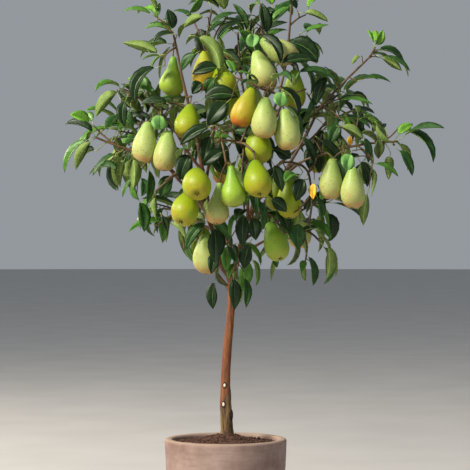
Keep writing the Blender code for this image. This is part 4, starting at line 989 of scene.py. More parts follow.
@dataclass(frozen=True)
class Bark(Finish):
    """Young smooth bark: silky, with fine streaks along the limb, corky pores, and, on the trunk, the
    coarser ridged bark of the rootstock below the graft."""

    base: str = "#6e3d16"
    light: str = "#93602c"
    dark: str = "#3a1c0a"
    flush: str = "#74371a"
    stock: str = "#644a28"
    stock_light: str = "#846a3a"
    stock_dark: str = "#2c1d0b"
    grafted: bool = False

    def dress(self, graph: Graph) -> None:
        """Streaks 6 mm apart and nine times as long, pores 7 mm apart, and the graft of two barks.

        Args:
            graph: the material's nodes.
        """
        streak = graph.noise(6 * MM, detail=4.0, roughness=0.65, place=graph.upright(0.11))
        colour = graph.ramp(streak, (0.30, self.dark), (0.50, self.base), (0.72, self.light))
        if self.grafted:
            colour = self.graft(graph, streak, colour)
        pored = graph.mix(graph.pores(7 * MM, edge=0.20, heart=0.10, most=0.6), colour, self.light)
        graph.cover(pored, streak, strength=0.6, depth=1.2 * MM)

    def graft(self, graph: Graph, streak: Socket, colour: Socket) -> Socket:
        """Blend the scion's bark into the rootstock's along a slanting dark seam.

        Args:
            graph: the material's nodes.
            streak: the noise that both barks share.
            colour: the scion's colour.

        Returns:
            The colour of both.
        """
        stock = graph.ramp(streak, (0.38, self.stock_dark), (0.50, self.stock), (0.64, self.stock_light))
        slant = graph.maths("MULTIPLY_ADD", graph.axis("X"), -2.0, graph.axis("Z"))
        above = graph.share(slant, GRAFT_HEIGHT + 4 * MM, GRAFT_HEIGHT + 11 * MM, soft=True)
        patch = graph.noise(16 * MM, detail=2.0, place=graph.upright(0.12))
        flushed = graph.mix(graph.share(patch, 0.48, 0.60, most=0.6), colour, self.flush)
        both = graph.mix(above, stock, flushed)
        seam = graph.maths("MULTIPLY", above, graph.maths("SUBTRACT", 1.0, above))
        return graph.mix(graph.maths("MULTIPLY", seam, 3.4), both, self.stock_dark)


@dataclass(frozen=True)
class Plain(Finish):
    """A small part of one substance, mottled a little by a fine noise."""

    light: str = "#e6d3bd"
    dark: str = "#c9ab8c"
    grain_mm: float = 2.0

    def dress(self, graph: Graph) -> None:
        """Mottling and a faint relief at the grain's size.

        Args:
            graph: the material's nodes.
        """
        grain = graph.noise(self.grain_mm * MM, detail=3.0)
        colour = graph.ramp(grain, (0.35, self.dark), (0.65, self.light))
        graph.cover(colour, grain, strength=0.3, depth=0.4 * MM)


@dataclass(frozen=True)
class Blade(Finish):
    """A leathery pear leaf: waxy and glossy above, with side veins sunk a little into it."""

    light: str = "#37592c"
    dark: str = "#2a4a22"
    gloss: float = 0.06
    veins: float = 0.15
    vein_pairs: float = 9.0
    vein_lean: float = -0.16

    def dress(self, graph: Graph) -> None:
        """Mottling of 12 mm in the green, and pairs of side veins that rise from the midrib.

        Args:
            graph: the material's nodes.
        """
        cell = graph.noise(12 * MM, detail=2.0)
        colour = graph.ramp(cell, (0.35, self.dark), (0.65, self.light))
        side = graph.maths("ABSOLUTE", graph.mark("across"))
        lean = graph.maths("MULTIPLY_ADD", side, self.vein_lean, graph.mark("along"))
        wave = graph.maths("SINE", graph.maths("MULTIPLY", lean, self.vein_pairs * TURN))
        graph.wax(self.gloss, roughness=0.32)
        graph.cover(colour, wave, strength=self.veins, depth=0.35 * MM)


@dataclass(frozen=True)
class PearSkin(Finish):
    """A pear's skin: thin, waxy and speckled with corky pores, greener at the neck and blushed where
    the sun reached the foot."""

    neck: str = "#a9bb45"
    belly: str = "#c6cc52"
    blush: str = "#d29a3e"
    blushed: float = 0.5
    pore: str = "#7d7a36"
    gloss: float = 0.06

    def dress(self, graph: Graph) -> None:
        """Clouds of 18 mm with finer mottling break up the blush.

        Pores are drawn 2 mm wide and 9 mm apart, coarser than the real half millimetre, which the
        picture could not show.

        Args:
            graph: the material's nodes.
        """
        cloud = graph.noise(18 * MM, detail=5.0, roughness=0.62)
        shade = graph.maths("MULTIPLY_ADD", cloud, 0.7, graph.mark("along"))
        skin = graph.ramp(shade, (0.40, self.neck), (0.95, self.belly))
        sunny = graph.share(shade, 1.02, 1.35, most=self.blushed, soft=True)
        blush = graph.mix(sunny, skin, self.blush)
        pores = graph.pores(9 * MM, edge=0.26, heart=0.10, most=0.75)
        graph.wax(self.gloss, roughness=0.3)
        graph.cover(graph.mix(pores, blush, self.pore), cloud, strength=0.25, depth=2 * MM)


POT_FINISH = Limewash("limewashed_terracotta", 0.85)
SOIL_FINISH = Compost("moist_compost", 0.95)
TRUNK_FINISH = Bark("grafted_trunk_bark", 0.62, grafted=True)
BOUGH_FINISHES = {
    Rind.ORANGE: Bark("orange_brown_bark", 0.6, base="#5c3a20", light="#7c5635", dark="#3a2211"),
    Rind.GREY: Bark("grey_tan_bark", 0.65, base="#5c4b34", light="#7c6a4a", dark="#3a2c1a"),
}
TWIG_FINISH = Bark("young_twig_bark", 0.6, base="#533d21", light="#715a32", dark="#362513")
SHOOT_FINISH = Plain("green_shoot", 0.5, light="#8f9448", dark="#6c7236", grain_mm=4.0)
CUT_FINISH = Plain("healed_cut", 0.7, light="#efdfcb", dark="#d9bfa2", grain_mm=2.0)
CALLUS_FINISH = Plain("dark_callus", 0.8, light="#3d2413", dark="#241409", grain_mm=3.0)
CALYX_FINISH = Plain("dry_calyx", 0.85, light="#4f3a20", dark="#2a1d10", grain_mm=1.5)
FLOOR_FINISH = Plain("pale_floor", 0.9, light="#b9b8b6", dark="#b3b2b0", grain_mm=400.0)
LEAF_FINISHES = {
    Tone.DEEP: Blade("leaf_deep_green", 0.46, 1.4, light="#19340f", dark="#102408"),
    Tone.MID: Blade("leaf_mid_green", 0.47, 1.4, light="#2c541e", dark="#1f4013"),
    Tone.FRESH: Blade("leaf_fresh_green", 0.44, 1.4, light="#4d7c28", dark="#3d6a1e"),
    Tone.YOUNG: Blade("leaf_young_green", 0.48, light="#659a24", dark="#50821c"),
    Tone.OLIVE: Blade("leaf_olive_green", 0.42, light="#5c6e30", dark="#485a26"),
    Tone.GLAUCOUS: Blade("leaf_blue_green", 0.5, light="#70a352", dark="#5b8e42"),
    Tone.GOLD: Blade("leaf_turned_gold", 0.5, light="#eec22a", dark="#dca21f"),
}
UNDERSIDE = Blade("leaf_pale_underside", 0.65, 1.4, light="#7a914a", dark="#67803b", gloss=0.0, veins=0.0)
RIB_FINISH = Plain("leaf_midrib", 0.5, light="#4a6b2e", dark="#395622", grain_mm=12.0)
UNDER_RIB_FINISH = Plain("leaf_rib_below", 0.6, light="#a0b36c", dark="#8ba158", grain_mm=12.0)
PETIOLE_FINISH = Plain("leaf_stalk", 0.5, light="#8ea04c", dark="#6f8440", grain_mm=5.0)
SKINS = {
    Skin.GREEN: PearSkin("pear_yellow_green", 0.50, neck="#6d8e0d", belly="#879a0b", blush="#a8841a",
                         blushed=0.45),
    Skin.LIME: PearSkin("pear_lime_green", 0.50, neck="#669526", belly="#88a82e", blush="#a19c3c"),
    Skin.PALE: PearSkin("pear_pale_cream", 0.52, neck="#8aa94e", belly="#a6b065", blush="#b4844a",
                        blushed=0.8),
    Skin.AMBER: PearSkin("pear_amber_blush", 0.50, neck="#879818", belly="#a4931c", blush="#b05c16",
                         blushed=1.0),
}


class Bench:
    """The few modelling steps that every piece made by hand goes through."""

    @staticmethod
    def leave_edit() -> None:
        """Leave edit mode."""
        if bpy.context.object and bpy.context.object.mode != "OBJECT":
            bpy.ops.object.mode_set(mode="OBJECT")

    @staticmethod
    def clear_selection() -> None:
        """Leave edit mode and deselect everything."""
        Bench.leave_edit()
        bpy.ops.object.select_all(action="DESELECT")

    @staticmethod
    def new(name: str, operator: Callable, **settings: object) -> bpy.types.Object:
        """Add a primitive.

        Args:
            name: the new object's name.
            operator: the operator that adds it.
            settings: what the operator is given.

        Returns:
            The new object, active and selected alone.
        """
        Bench.clear_selection()
        operator(**settings)
        item = bpy.context.object
        item.name = name
        item.data.name = name
        return item

    @staticmethod
    def edit(item: bpy.types.Object, elements: str, chosen: Callable) -> None:
        """Enter edit mode with some faces or edges selected.

        Args:
            item: the active object.
            elements: FACE or EDGE.
            chosen: says of a bmesh face or edge whether it is selected.
        """
        if item.mode != "EDIT":
            bpy.ops.object.mode_set(mode="EDIT")
        bpy.ops.mesh.select_mode(type=elements)
        bpy.ops.mesh.select_all(action="DESELECT")
        shape = bmesh.from_edit_mesh(item.data)
        for part in (shape.faces if elements == "FACE" else shape.edges):
            if chosen(part):
                part.select_set(True)
        bmesh.update_edit_mesh(item.data)

    @staticmethod
    def finish(item: bpy.types.Object, angle: float = 40.0) -> None:
        """Put the object's place into its mesh, and shade it smooth.

        Args:
            item: the object.
            angle: the greatest angle between faces that still shade smooth, in degrees.
        """
        Bench.clear_selection()
        item.select_set(True)
        bpy.context.view_layer.objects.active = item
        bpy.ops.object.transform_apply(location=True, rotation=True, scale=True)
        bpy.ops.object.shade_smooth_by_angle(angle=math.radians(angle))
        item.select_set(False)

    @staticmethod
    def take(item: bpy.types.Object) -> tuple[np.ndarray, list]:
        """Read a model's points and faces, and remove the model.

        Args:
            item: the model.

        Returns:
            Its points and its faces.
        """
        Bench.leave_edit()
        points = np.array([tuple(item.matrix_world @ vert.co) for vert in item.data.vertices])
        faces = [tuple(face.vertices) for face in item.data.polygons]
        bpy.data.objects.remove(item, do_unlink=True)
        return points, faces


def stands_for(item: bpy.types.Object, slot: str, *nodes: str) -> None:
    """Tell the frame what a finished piece rides on and replaces.

    Args:
        item: the piece.
        slot: the record's material slot; not used.
        nodes: the solids that the piece stands for.
    """
    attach(item, "root")
    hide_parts(*nodes)
    LOG.info("%s: %d faces for %s", item.name, len(item.data.polygons), ", ".join(nodes))


class Heap:
    """Many small shapes gathered into one mesh, each face with its own finish."""

    def __init__(self) -> None:
        """Start empty."""
        self.points: list = []
        self.faces: list = []
        self.finishes: list = []
        self.marks: list = []
        self.creases: list = []
        self.count = 0

    def add(self, points: np.ndarray, faces: Iterable, finishes: Sequence[Finish],
            marks: Optional[np.ndarray] = None, creases: Sequence[tuple] = ()) -> None:
        """Add a shape.

        Args:
            points: its points, a row each.
            faces: its faces, by point number.
            finishes: one finish for each face, or one for all.
            marks: two numbers for each point, across and along.
            creases: pairs of points whose edges shade sharp.
        """
        self.creases.extend((first + self.count, second + self.count) for first, second in creases)
        faces = [tuple(corner + self.count for corner in face) for face in faces]
        self.points.append(points)
        self.faces.extend(faces)
        self.finishes.extend(finishes if len(finishes) == len(faces) else finishes * len(faces))
        self.marks.append(np.zeros((len(points), 2)) if marks is None else marks)
        self.count += len(points)

    def piece(self, name: str) -> bpy.types.Object:
        """Join what was gathered.

        Args:
            name: the piece's name.

        Returns:
            The joined object.
        """
        mesh = bpy.data.meshes.new(name)
        mesh.from_pydata(np.concatenate(self.points).tolist(), [], self.faces)
        kinds = list(dict.fromkeys(self.finishes))
        for finish in kinds:
            mesh.materials.append(finish.material())
        numbers = {finish: index for index, finish in enumerate(kinds)}
        mesh.polygons.foreach_set("material_index", [numbers[finish] for finish in self.finishes])
        marks = np.concatenate(self.marks)
        for column, title in enumerate(("across", "along")):
            layer = mesh.attributes.new(title, "FLOAT", "POINT")
            layer.data.foreach_set("value", marks[:, column].astype(np.float32))
        mesh.update()
        item = bpy.data.objects.new(name, mesh)
        bpy.context.scene.collection.objects.link(item)
        mesh.shade_smooth()
        self.crease(mesh)
        return item

    def crease(self, mesh: bpy.types.Mesh) -> None:
        """Mark the noted edges sharp.

        Args:
            mesh: the joined mesh.
        """
        if not self.creases:
            return
        ends = np.empty(2 * len(mesh.edges), dtype=np.int64)
        mesh.edges.foreach_get("vertices", ends)
        ends = np.sort(ends.reshape(-1, 2), axis=1)
        noted = np.sort(np.array(self.creases, dtype=np.int64), axis=1)
        sharp = np.isin(ends[:, 0] * self.count + ends[:, 1], noted[:, 0] * self.count + noted[:, 1])
        mesh.attributes.new("sharp_edge", "BOOLEAN", "EDGE").data.foreach_set("value", sharp)


@dataclass
class Line:
    """A tapering line through the tree: its points and the radius at each."""

    points: np.ndarray
    radii: np.ndarray
    reach: np.ndarray = field(init=False)

    def __post_init__(self) -> None:
        """Measure how far each point is from the start."""
        steps = np.linalg.norm(np.diff(self.points, axis=0), axis=1)
        self.reach = np.concatenate(([0.0], np.cumsum(steps)))

    @classmethod
    def tapered(cls, points: Iterable, thick: float, thin: float) -> "Line":
        """A line that thins evenly along its length.

        Args:
            points: its points.
            thick: the radius at its start.
            thin: the radius at its end.

        Returns:
            The line.
        """
        line = cls(np.array([tuple(point) for point in points]), np.zeros(1))
        line.radii = thick + (thin - thick) * line.reach / line.reach[-1]
        return line

    @property
    def length(self) -> float:
        """Length of the line."""
        return float(self.reach[-1])

    def point(self, share: float) -> Vector:
        """The point at a share of the length."""
        far = share * self.length
        return Vector([np.interp(far, self.reach, self.points[:, axis]) for axis in range(3)])

    def radius(self, share: float) -> float:
        """The radius at a share of the length."""
        return float(np.interp(share * self.length, self.reach, self.radii))

    def heading(self, share: float, near: float = 0.05) -> Vector:
        """Unit vector along the line, taken between two places near a share of its length."""
        return (self.point(min(1.0, share + near)) - self.point(max(0.0, share - near))).normalized()

    def nearest(self, point: Vector) -> float:
        """The share of the length where the line is nearest to a point."""
        shares = np.linspace(0.0, 1.0, NEAREST_PLACES)
        return float(min(shares, key=lambda share: (self.point(share) - point).length))

    def soft(self, step: float, rounds: int = 6) -> "Line":
        """The same line with points at even steps and its corners rounded.

        Args:
            step: about how far apart the points are.
            rounds: how many times each point moves between its neighbours.

        Returns:
            The new line.
        """
        count = max(3, int(self.length / step) + 1)
        shares = np.linspace(0.0, 1.0, count)
        points = np.array([tuple(self.point(share)) for share in shares])
        radii = np.array([self.radius(share) for share in shares])
        for _ in range(rounds):
            points[1:-1] = (points[:-2] + 2.0 * points[1:-1] + points[2:]) / 4.0
        return Line(points, radii)


def flowing(knots: Sequence, per_span: int) -> Line:
    """A smooth line through points of (x, y, z, radius), with some more on each span.

    Args:
        knots: the points.
        per_span: points for each span.

    Returns:
        The line.
    """
    knots = [np.array(knot) for knot in knots]
    knots = [2.0 * knots[0] - knots[1]] + knots + [2.0 * knots[-1] - knots[-2]]
    rows = []
    for index in range(1, len(knots) - 2):
        before, start, end, after = knots[index - 1:index + 3]
        for step in range(per_span):
            t = step / per_span
            rows.append(0.5 * (2.0 * start + (end - before) * t
                               + (2.0 * before - 5.0 * start + 4.0 * end - after) * t ** 2
                               + (3.0 * start - before - 3.0 * end + after) * t ** 3))
    rows.append(knots[-2])
    table = np.array(rows)
    return Line(table[:, :3], table[:, 3])


def carried_frames(points: np.ndarray) -> tuple[np.ndarray, np.ndarray]:
    """Two unit vectors across a line at each of its points, carried along it without a twist.

    Args:
        points: the line's points.

    Returns:
        The first and the second vector of each point.
    """
    headings = np.gradient(points, axis=0)
    headings /= np.linalg.norm(headings, axis=1)[:, None]
    first = np.eye(3)[0 if abs(headings[0][0]) < ALONG_X else 1]
    sides = []
    for heading in headings:
        first = first - heading * float(first @ heading)
        first = first / np.linalg.norm(first)
        sides.append(first)
    sides = np.array(sides)
    return sides, np.cross(headings, sides)


def tube(line: Line, sides: int) -> tuple[np.ndarray, list]:
    """The closed skin of a line.

    Args:
        line: the line.
        sides: corners of its section.

    Returns:
        Points and faces.
    """
    first, second = carried_frames(line.points)
    angles = np.arange(sides) * TURN / sides
    ring = (first[:, None, :] * np.cos(angles)[None, :, None]
            + second[:, None, :] * np.sin(angles)[None, :, None])
    points = (line.points[:, None, :] + ring * line.radii[:, None, None]).reshape(-1, 3)
    faces = [tuple(reversed(range(sides)))]
    for row in range(len(line.points) - 1):
        for side in range(sides):
            after = (side + 1) % sides
            faces.append((row * sides + side, row * sides + after,
                          (row + 1) * sides + after, (row + 1) * sides + side))
    last = (len(line.points) - 1) * sides
    faces.append(tuple(range(last, last + sides)))
    return points, faces


def level(angle: float) -> Vector:
    """The level unit vector at an angle from X."""
    return Vector((math.cos(angle), math.sin(angle), 0.0))


def pot_radius(height: float) -> float:
    """Outer radius of the pot's side at a height."""
    return POT_FOOT_RADIUS + (POT_RIM_RADIUS - POT_FOOT_RADIUS) * height / POT_HEIGHT


def soil_radius(height: float) -> float:
    """Radius of the soil at a height, just clear of the wall."""
    return pot_radius(height) - POT_WALL - SOIL_GAP


@dataclass
class Pot:
    """The round terracotta pot."""

    sides: int = 96
    lip_round: float = 0.007
    lip_segments: int = 5
    foot_round: float = 0.004
    foot_segments: int = 3
    drain_radius: float = 0.007
    drain_ring: float = 0.055
    drains: int = 3
    drain_sides: int = 24
    drain_turn: float = math.pi / 32.0
    bands: int = 26
    smooth_angle: float = 35.0
    side_share: float = 0.8
    wobble: float = 0.0005
    wobble_mean: float = 0.4
    wobble_round: float = 2.0
    wobble_rise: float = 40.0
    lip_wobble: float = 1.5
    lip_drop: float = 0.6
    flat_foot: float = 2.0 * MM
    inner_band: float = 20 * MM

    def build(self) -> None:
        """Throw the pot, pierce its floor and dress it."""
        item = self.thrown()
        self.pierce(item)
        self.ease(item)
        Bench.finish(item, self.smooth_angle)
        item.data.materials.clear()
        item.data.materials.append(POT_FINISH.material())
        stands_for(item, "pot", "pot")

    def thrown(self) -> bpy.types.Object:
        """A cylinder, widened at its top, hollowed out, with its lip and its foot rounded.

        Returns:
            The pot without its drain holes.
        """
        item = Bench.new("terracotta_pot", bpy.ops.mesh.primitive_cylinder_add, vertices=self.sides,
                         radius=POT_FOOT_RADIUS, depth=POT_HEIGHT, location=(0.0, 0.0, POT_HEIGHT / 2.0))
        top = POT_HEIGHT / 2.0
        Bench.edit(item, "FACE", lambda face: face.calc_center_median().z > top - MM)
        wider = POT_RIM_RADIUS / POT_FOOT_RADIUS
        bpy.ops.transform.resize(value=(wider, wider, 1.0), center_override=(0.0, 0.0, POT_HEIGHT))
        bpy.ops.mesh.inset(thickness=POT_WALL)
        bpy.ops.mesh.extrude_region_move(TRANSFORM_OT_translate={"value": (0.0, 0.0, POT_FLOOR - POT_HEIGHT)})
        narrower = (pot_radius(POT_FLOOR) - POT_WALL) / (POT_RIM_RADIUS - POT_WALL)
        bpy.ops.transform.resize(value=(narrower, narrower, 1.0), center_override=(0.0, 0.0, POT_FLOOR))
        Bench.edit(item, "EDGE", lambda edge: all(vert.co.z > top - MM for vert in edge.verts)
                   and abs(edge.verts[0].co.xy.length - edge.verts[1].co.xy.length) < MM)
        self.bevel(self.lip_round, self.lip_segments)
        Bench.edit(item, "EDGE", lambda edge: all(vert.co.z < MM - top for vert in edge.verts))
        self.bevel(self.foot_round, self.foot_segments)
        Bench.edit(item, "EDGE", self.is_outer_side)
        bpy.ops.mesh.subdivide(number_cuts=self.bands)
        Bench.finish(item)
        return item

    def bevel(self, width: float, segments: int) -> None:
        """Round the selected edges."""
        bpy.ops.mesh.bevel(offset=width, segments=segments, affect="EDGES", clamp_overlap=False)

    def is_outer_side(self, edge: bmesh.types.BMEdge) -> bool:
        """Whether an edge runs up most of the outer side.

        Args:
            edge: an edge of the pot.

        Returns:
            Whether it does.
        """
        rise = abs(edge.verts[0].co.z - edge.verts[1].co.z)
        radius = min(vert.co.xy.length for vert in edge.verts)
        return rise > POT_HEIGHT * self.side_share and radius > POT_FOOT_RADIUS - MM

    def pierce(self, item: bpy.types.Object) -> None:
        """Cut the drain holes through the floor.

        Args:
            item: the pot.
        """
        for index in range(self.drains):
            angle = TURN * index / self.drains + self.drain_turn
            place = (self.drain_ring * math.cos(angle), self.drain_ring * math.sin(angle), POT_FLOOR / 2.0)
            cutter = Bench.new("drain", bpy.ops.mesh.primitive_cylinder_add, vertices=self.drain_sides,
                               radius=self.drain_radius, depth=3.0 * POT_FLOOR, location=place)
            Bench.clear_selection()
            bpy.context.view_layer.objects.active = item
            hole = item.modifiers.new("drain", "BOOLEAN")
            hole.operation = "DIFFERENCE"
            hole.solver = "EXACT"
            hole.object = cutter
            bpy.ops.object.modifier_apply(modifier=hole.name)
            bpy.data.objects.remove(cutter, do_unlink=True)

    def ease(self, item: bpy.types.Object) -> None:
        """Give the thrown side and lip their slight unevenness. The underside stays flat.

        Args:
            item: the pot.
        """
        for vert in item.data.vertices:
            flat = vert.co.xy.length
            if vert.co.z < self.flat_foot or flat < POT_RIM_RADIUS - POT_WALL - self.inner_band:
                continue
            place = level(math.atan2(vert.co.y, vert.co.x)) * self.wobble_round
            push = (noise.noise(place + UP * vert.co.z * self.wobble_rise) * self.wobble
                    - self.wobble * self.wobble_mean)
            vert.co.x *= 1.0 + push / flat
            vert.co.y *= 1.0 + push / flat
            if vert.co.z > POT_HEIGHT - self.lip_round:
                vert.co.z += (noise.noise(place * self.lip_wobble) - self.lip_drop) * self.wobble


@dataclass
class Soil:
    """The potting soil, mounded to the foot of the trunk, with loose crumbs on it."""

    rings: int = 15
    middle_rings: float = 1.5
    sides: int = 72
    edge: float = soil_radius(SOIL_EDGE)
    smooth_angle: float = 60.0
    relief: float = 0.0022
    sunk: float = 0.4
    clods: float = 70.0
    grit: float = 190.0
    grit_share: float = 0.7
    crumbs: int = 900
    crumb_spread: tuple = (0.02, 0.97)
    crumb_radius: tuple = (0.0012, 0.0042)
    crumb_play: tuple = (0.6, 1.0)
    crumb_shape: tuple = ((0.7, 1.4), (0.7, 1.2), (0.5, 0.9))
    crumb_rise: float = 0.25

    def surface(self, radius: float) -> float:
        """Height of the mound.

        Args:
            radius: distance from the pot's middle.

        Returns:
            The height there.
        """
        share = min(1.0, max(0.0, (radius - SOIL_CROWN_RADIUS) / (self.edge - SOIL_CROWN_RADIUS)))
        return SOIL_TOP + (SOIL_EDGE - SOIL_TOP) * (1.0 - (1.0 - share) ** 2)

    def rough(self, x: float, y: float) -> float:
        """Height of the lumps at a place.

        Args:
            x: its X.
            y: its Y.

        Returns:
            The height over the mound.
        """
        place = Vector((x, y, 0.0))
        lumps = noise.noise(place * self.clods) + self.grit_share * noise.noise(place * self.grit)
        return self.relief * lumps - self.sunk * self.relief

    def build(self) -> None:
        """Fill the pot and scatter the crumbs."""
        item = Bench.new("potting_soil", bpy.ops.mesh.primitive_cylinder_add, vertices=self.sides,
                         radius=self.edge, depth=1.0)
        Bench.edit(item, "FACE", lambda face: face.calc_center_median().z > MM)
        for _ in range(self.rings):
            bpy.ops.mesh.inset(thickness=self.edge / (self.rings + self.middle_rings))
        bpy.ops.object.mode_set(mode="OBJECT")
        bottom = POT_FLOOR + SOIL_GAP
        narrow = soil_radius(bottom) / self.edge
        for vert in item.data.vertices:
            if vert.co.z < 0.0:
                vert.co = Vector((vert.co.x * narrow, vert.co.y * narrow, bottom))
            else:
                vert.co.z = self.surface(vert.co.xy.length) + self.rough(vert.co.x, vert.co.y)
        Bench.finish(item, self.smooth_angle)
        item.data.materials.append(SOIL_FINISH.material())
        stands_for(item, "soil", "soil")
        self.scatter()

    def scatter(self) -> None:
        """Crumbs lie half sunk all over the surface, but not in the trunk."""
        ball = Bench.new("crumb", bpy.ops.mesh.primitive_ico_sphere_add, subdivisions=1, radius=1.0)
        points, faces = Bench.take(ball)
        draw = random.Random("crumbs %d" % SEED)
        heap = Heap()
        for _ in range(self.crumbs):
            radius = math.sqrt(draw.uniform(*self.crumb_spread)) * self.edge
            angle = draw.uniform(0.0, TURN)
            size = draw.uniform(*self.crumb_radius) * draw.uniform(*self.crumb_play)
            radius = min(radius, self.edge - size)
            x, y = radius * math.cos(angle), radius * math.sin(angle)
            turn = Quaternion([draw.gauss(0, 1) for _ in range(4)]).normalized()
            stretch = np.array([draw.uniform(*span) for span in self.crumb_shape])
            lump = points * stretch * size @ np.array(turn.to_matrix()).T
            lump += np.array([x, y, self.surface(radius) + self.rough(x, y) + size * self.crumb_rise])
            heap.add(lump, faces, [SOIL_FINISH])
        stands_for(heap.piece("soil_crumbs"), "soil", "soil")


@dataclass(frozen=True)
class Swelling:
    """A local bulge on the trunk: its height, the way it faces, and its own height and spread."""

    height: float
    facing: float
    rise: float
    tall: float
    wide: float

    def at(self, height: float, angle: float) -> float:
        """How far the bulge lifts the bark at a height and angle."""
        turn = (angle - math.radians(self.facing) + math.pi) % TURN - math.pi
        return self.rise * math.exp(-((height - self.height) / self.tall) ** 2 - (turn / self.wide) ** 2)


@dataclass(frozen=True)
class Scar:
    """A healed pruning cut on the trunk: its height, the way it faces, its half width and height, and
    whether it has darkened."""

    name: str
    height: float
    facing: float
    wide: float
    tall: float
    dark: bool = False


@dataclass
class Timber:
    """The trunk and its boughs."""

    trunk_sides: int = 30
    bough_sides: int = 12
    trunk_cuts: int = 99
    least_cuts: int = 6
    bough_step: float = 0.006
    span_points: int = 6
    fine_steps: float = 200.0
    fine_rounds: int = 8
    smooth_angle: float = 60.0
    # The trunk's lumps (rise, and how fine they are round it and up it), ridges below the graft, and flare.
    lumps: tuple = ((0.0006, 2.0, 45.0), (0.0004, 5.0, 120.0))
    ridge_rise: float = 0.0022
    ridge_fine: tuple = (3.2, 9.0)
    ridge_mean: float = 0.25
    graft_blend: float = 0.004
    flare_rise: float = 0.0024
    flare_fade: float = 0.012
    buttresses: float = 3.0
    flare_turn: float = 0.6
    # The boughs' collars, the knots at their buds, and their grain, as shares of the bough's radius.
    collar_rise: float = 0.75
    collar_fade: float = 0.013
    bud_rise: float = 0.22
    bud_pitch: float = 0.031
    bud_power: int = 12
    grain_rise: float = 0.09
    grain_fine: tuple = (1.5, 90.0)
    # A scar's ring and face, as shares of its half size.
    scar_ring: float = 1.3
    scar_ring_thick: float = 0.42
    scar_face: float = 0.95
    scar_sides: int = 20
    scar_rows: int = 8
    scar_rise: float = 1.6 * MM
    scar_sunk: float = 0.6 * MM
    swellings: tuple = (
        Swelling(0.388, -10.0, 0.0030, 0.012, 0.9), Swelling(0.337, -35.0, 0.0034, 0.007, 0.45),
        Swelling(0.410, -100.0, 0.0012, 0.008, 0.5), Swelling(0.364, -107.0, 0.0014, 0.008, 0.5),
        Swelling(0.552, -50.0, 0.0014, 0.005, 0.5), Swelling(0.470, 60.0, 0.0015, 0.007, 0.5),
        Swelling(0.620, 170.0, 0.0014, 0.006, 0.5), Swelling(0.350, 95.0, 0.0025, 0.010, 0.7),
        Swelling(0.505, -150.0, 0.0008, 0.004, 0.4),
    )
    scars: tuple = (
        Scar("upper", 0.410, -100.0, 0.0032, 0.0050), Scar("lower", 0.364, -107.0, 0.0034, 0.0054),
        Scar("knot", 0.337, -46.0, 0.0042, 0.0080, True), Scar("back", 0.352, 95.0, 0.0032, 0.0050, True),
    )
    lines: dict = field(default_factory=dict)

    def lay_out(self) -> dict:
        """Work out the line of every limb.

        Returns:
            The lines by the limb's name.
        """
        self.lines = {"trunk": flowing(TRUNK_LINE, 1)}
        for bough in BOUGHS:
            parent = self.lines[bough.parent]
            share = np.interp(bough.start, parent.points[:, 2], parent.reach) / parent.length
            root = parent.point(float(share))
            line = Line.tapered((root, *bough.line), bough.thick, bough.thin)
            self.lines[bough.name] = flowing(np.column_stack((line.points, line.radii)), self.span_points)
        return self.lines

    def pole(self, name: str, sides: int, cuts: int) -> bpy.types.Object:
        """A straight pole of unit radius and height, cut into even lengths.

        Args:
            name: the pole's name.
            sides: its corners.
            cuts: how many rings are cut along it.

        Returns:
            The pole.
        """
        item = Bench.new(name, bpy.ops.mesh.primitive_cylinder_add, vertices=sides, radius=1.0, depth=1.0,
                         location=(0.0, 0.0, 0.5))
        bpy.ops.object.transform_apply(location=True)
        Bench.edit(item, "EDGE", lambda edge: abs(edge.verts[0].co.z - edge.verts[1].co.z) > 0.5)
        bpy.ops.mesh.subdivide(number_cuts=cuts)
        bpy.ops.object.mode_set(mode="OBJECT")
        return item

    def bend(self, item: bpy.types.Object, line: Line, relief: Callable) -> None:
        """Lay a straight pole on a line.

        Args:
            item: the pole.
            line: the limb's line.
            relief: gives the lift of the bark at a point of the line, an angle and a radius.
        """
        fine = line.soft(line.length / self.fine_steps, self.fine_rounds)
        first, second = carried_frames(fine.points)
        last = len(fine.points) - 1
        for vert in item.data.vertices:
            row = min(last, max(0, int(round(vert.co.z * last))))
            angle = math.atan2(vert.co.y, vert.co.x)
            middle = Vector(fine.points[row])
            radius = fine.radii[row] + relief(middle, angle, fine.radii[row])
            way = Vector(first[row]) * math.cos(angle) + Vector(second[row]) * math.sin(angle)
            vert.co = middle + way * radius

    def trunk_relief(self, middle: Vector, angle: float, radius: float) -> float:
        """The trunk's bark: fine unevenness, ridges on the rootstock, buttresses and swellings.

        Args:
            middle: a point of the trunk's line.
            angle: the angle round it.
            radius: the trunk's radius there, which has no part in it.

        Returns:
            The lift of the bark.
        """
        around = level(angle)
        lift = 0.0
        for rise, fine_round, fine_up in self.lumps:
            lift += rise * noise.noise(around * fine_round + UP * middle.z * fine_up)
        stock = 1.0 / (1.0 + math.exp((middle.z - GRAFT_HEIGHT) / self.graft_blend))
        ridge = noise.noise(around * self.ridge_fine[0] + UP * middle.z * self.ridge_fine[1])
        lift += stock * self.ridge_rise * (abs(ridge) - self.ridge_mean)
        flare = math.exp(-(middle.z - SOIL_TOP) / self.flare_fade) if middle.z > SOIL_TOP else 1.0
        lift += flare * self.flare_rise * max(0.0, math.cos(self.buttresses * angle + self.flare_turn))
        return lift + sum(swelling.at(middle.z, angle) for swelling in self.swellings)

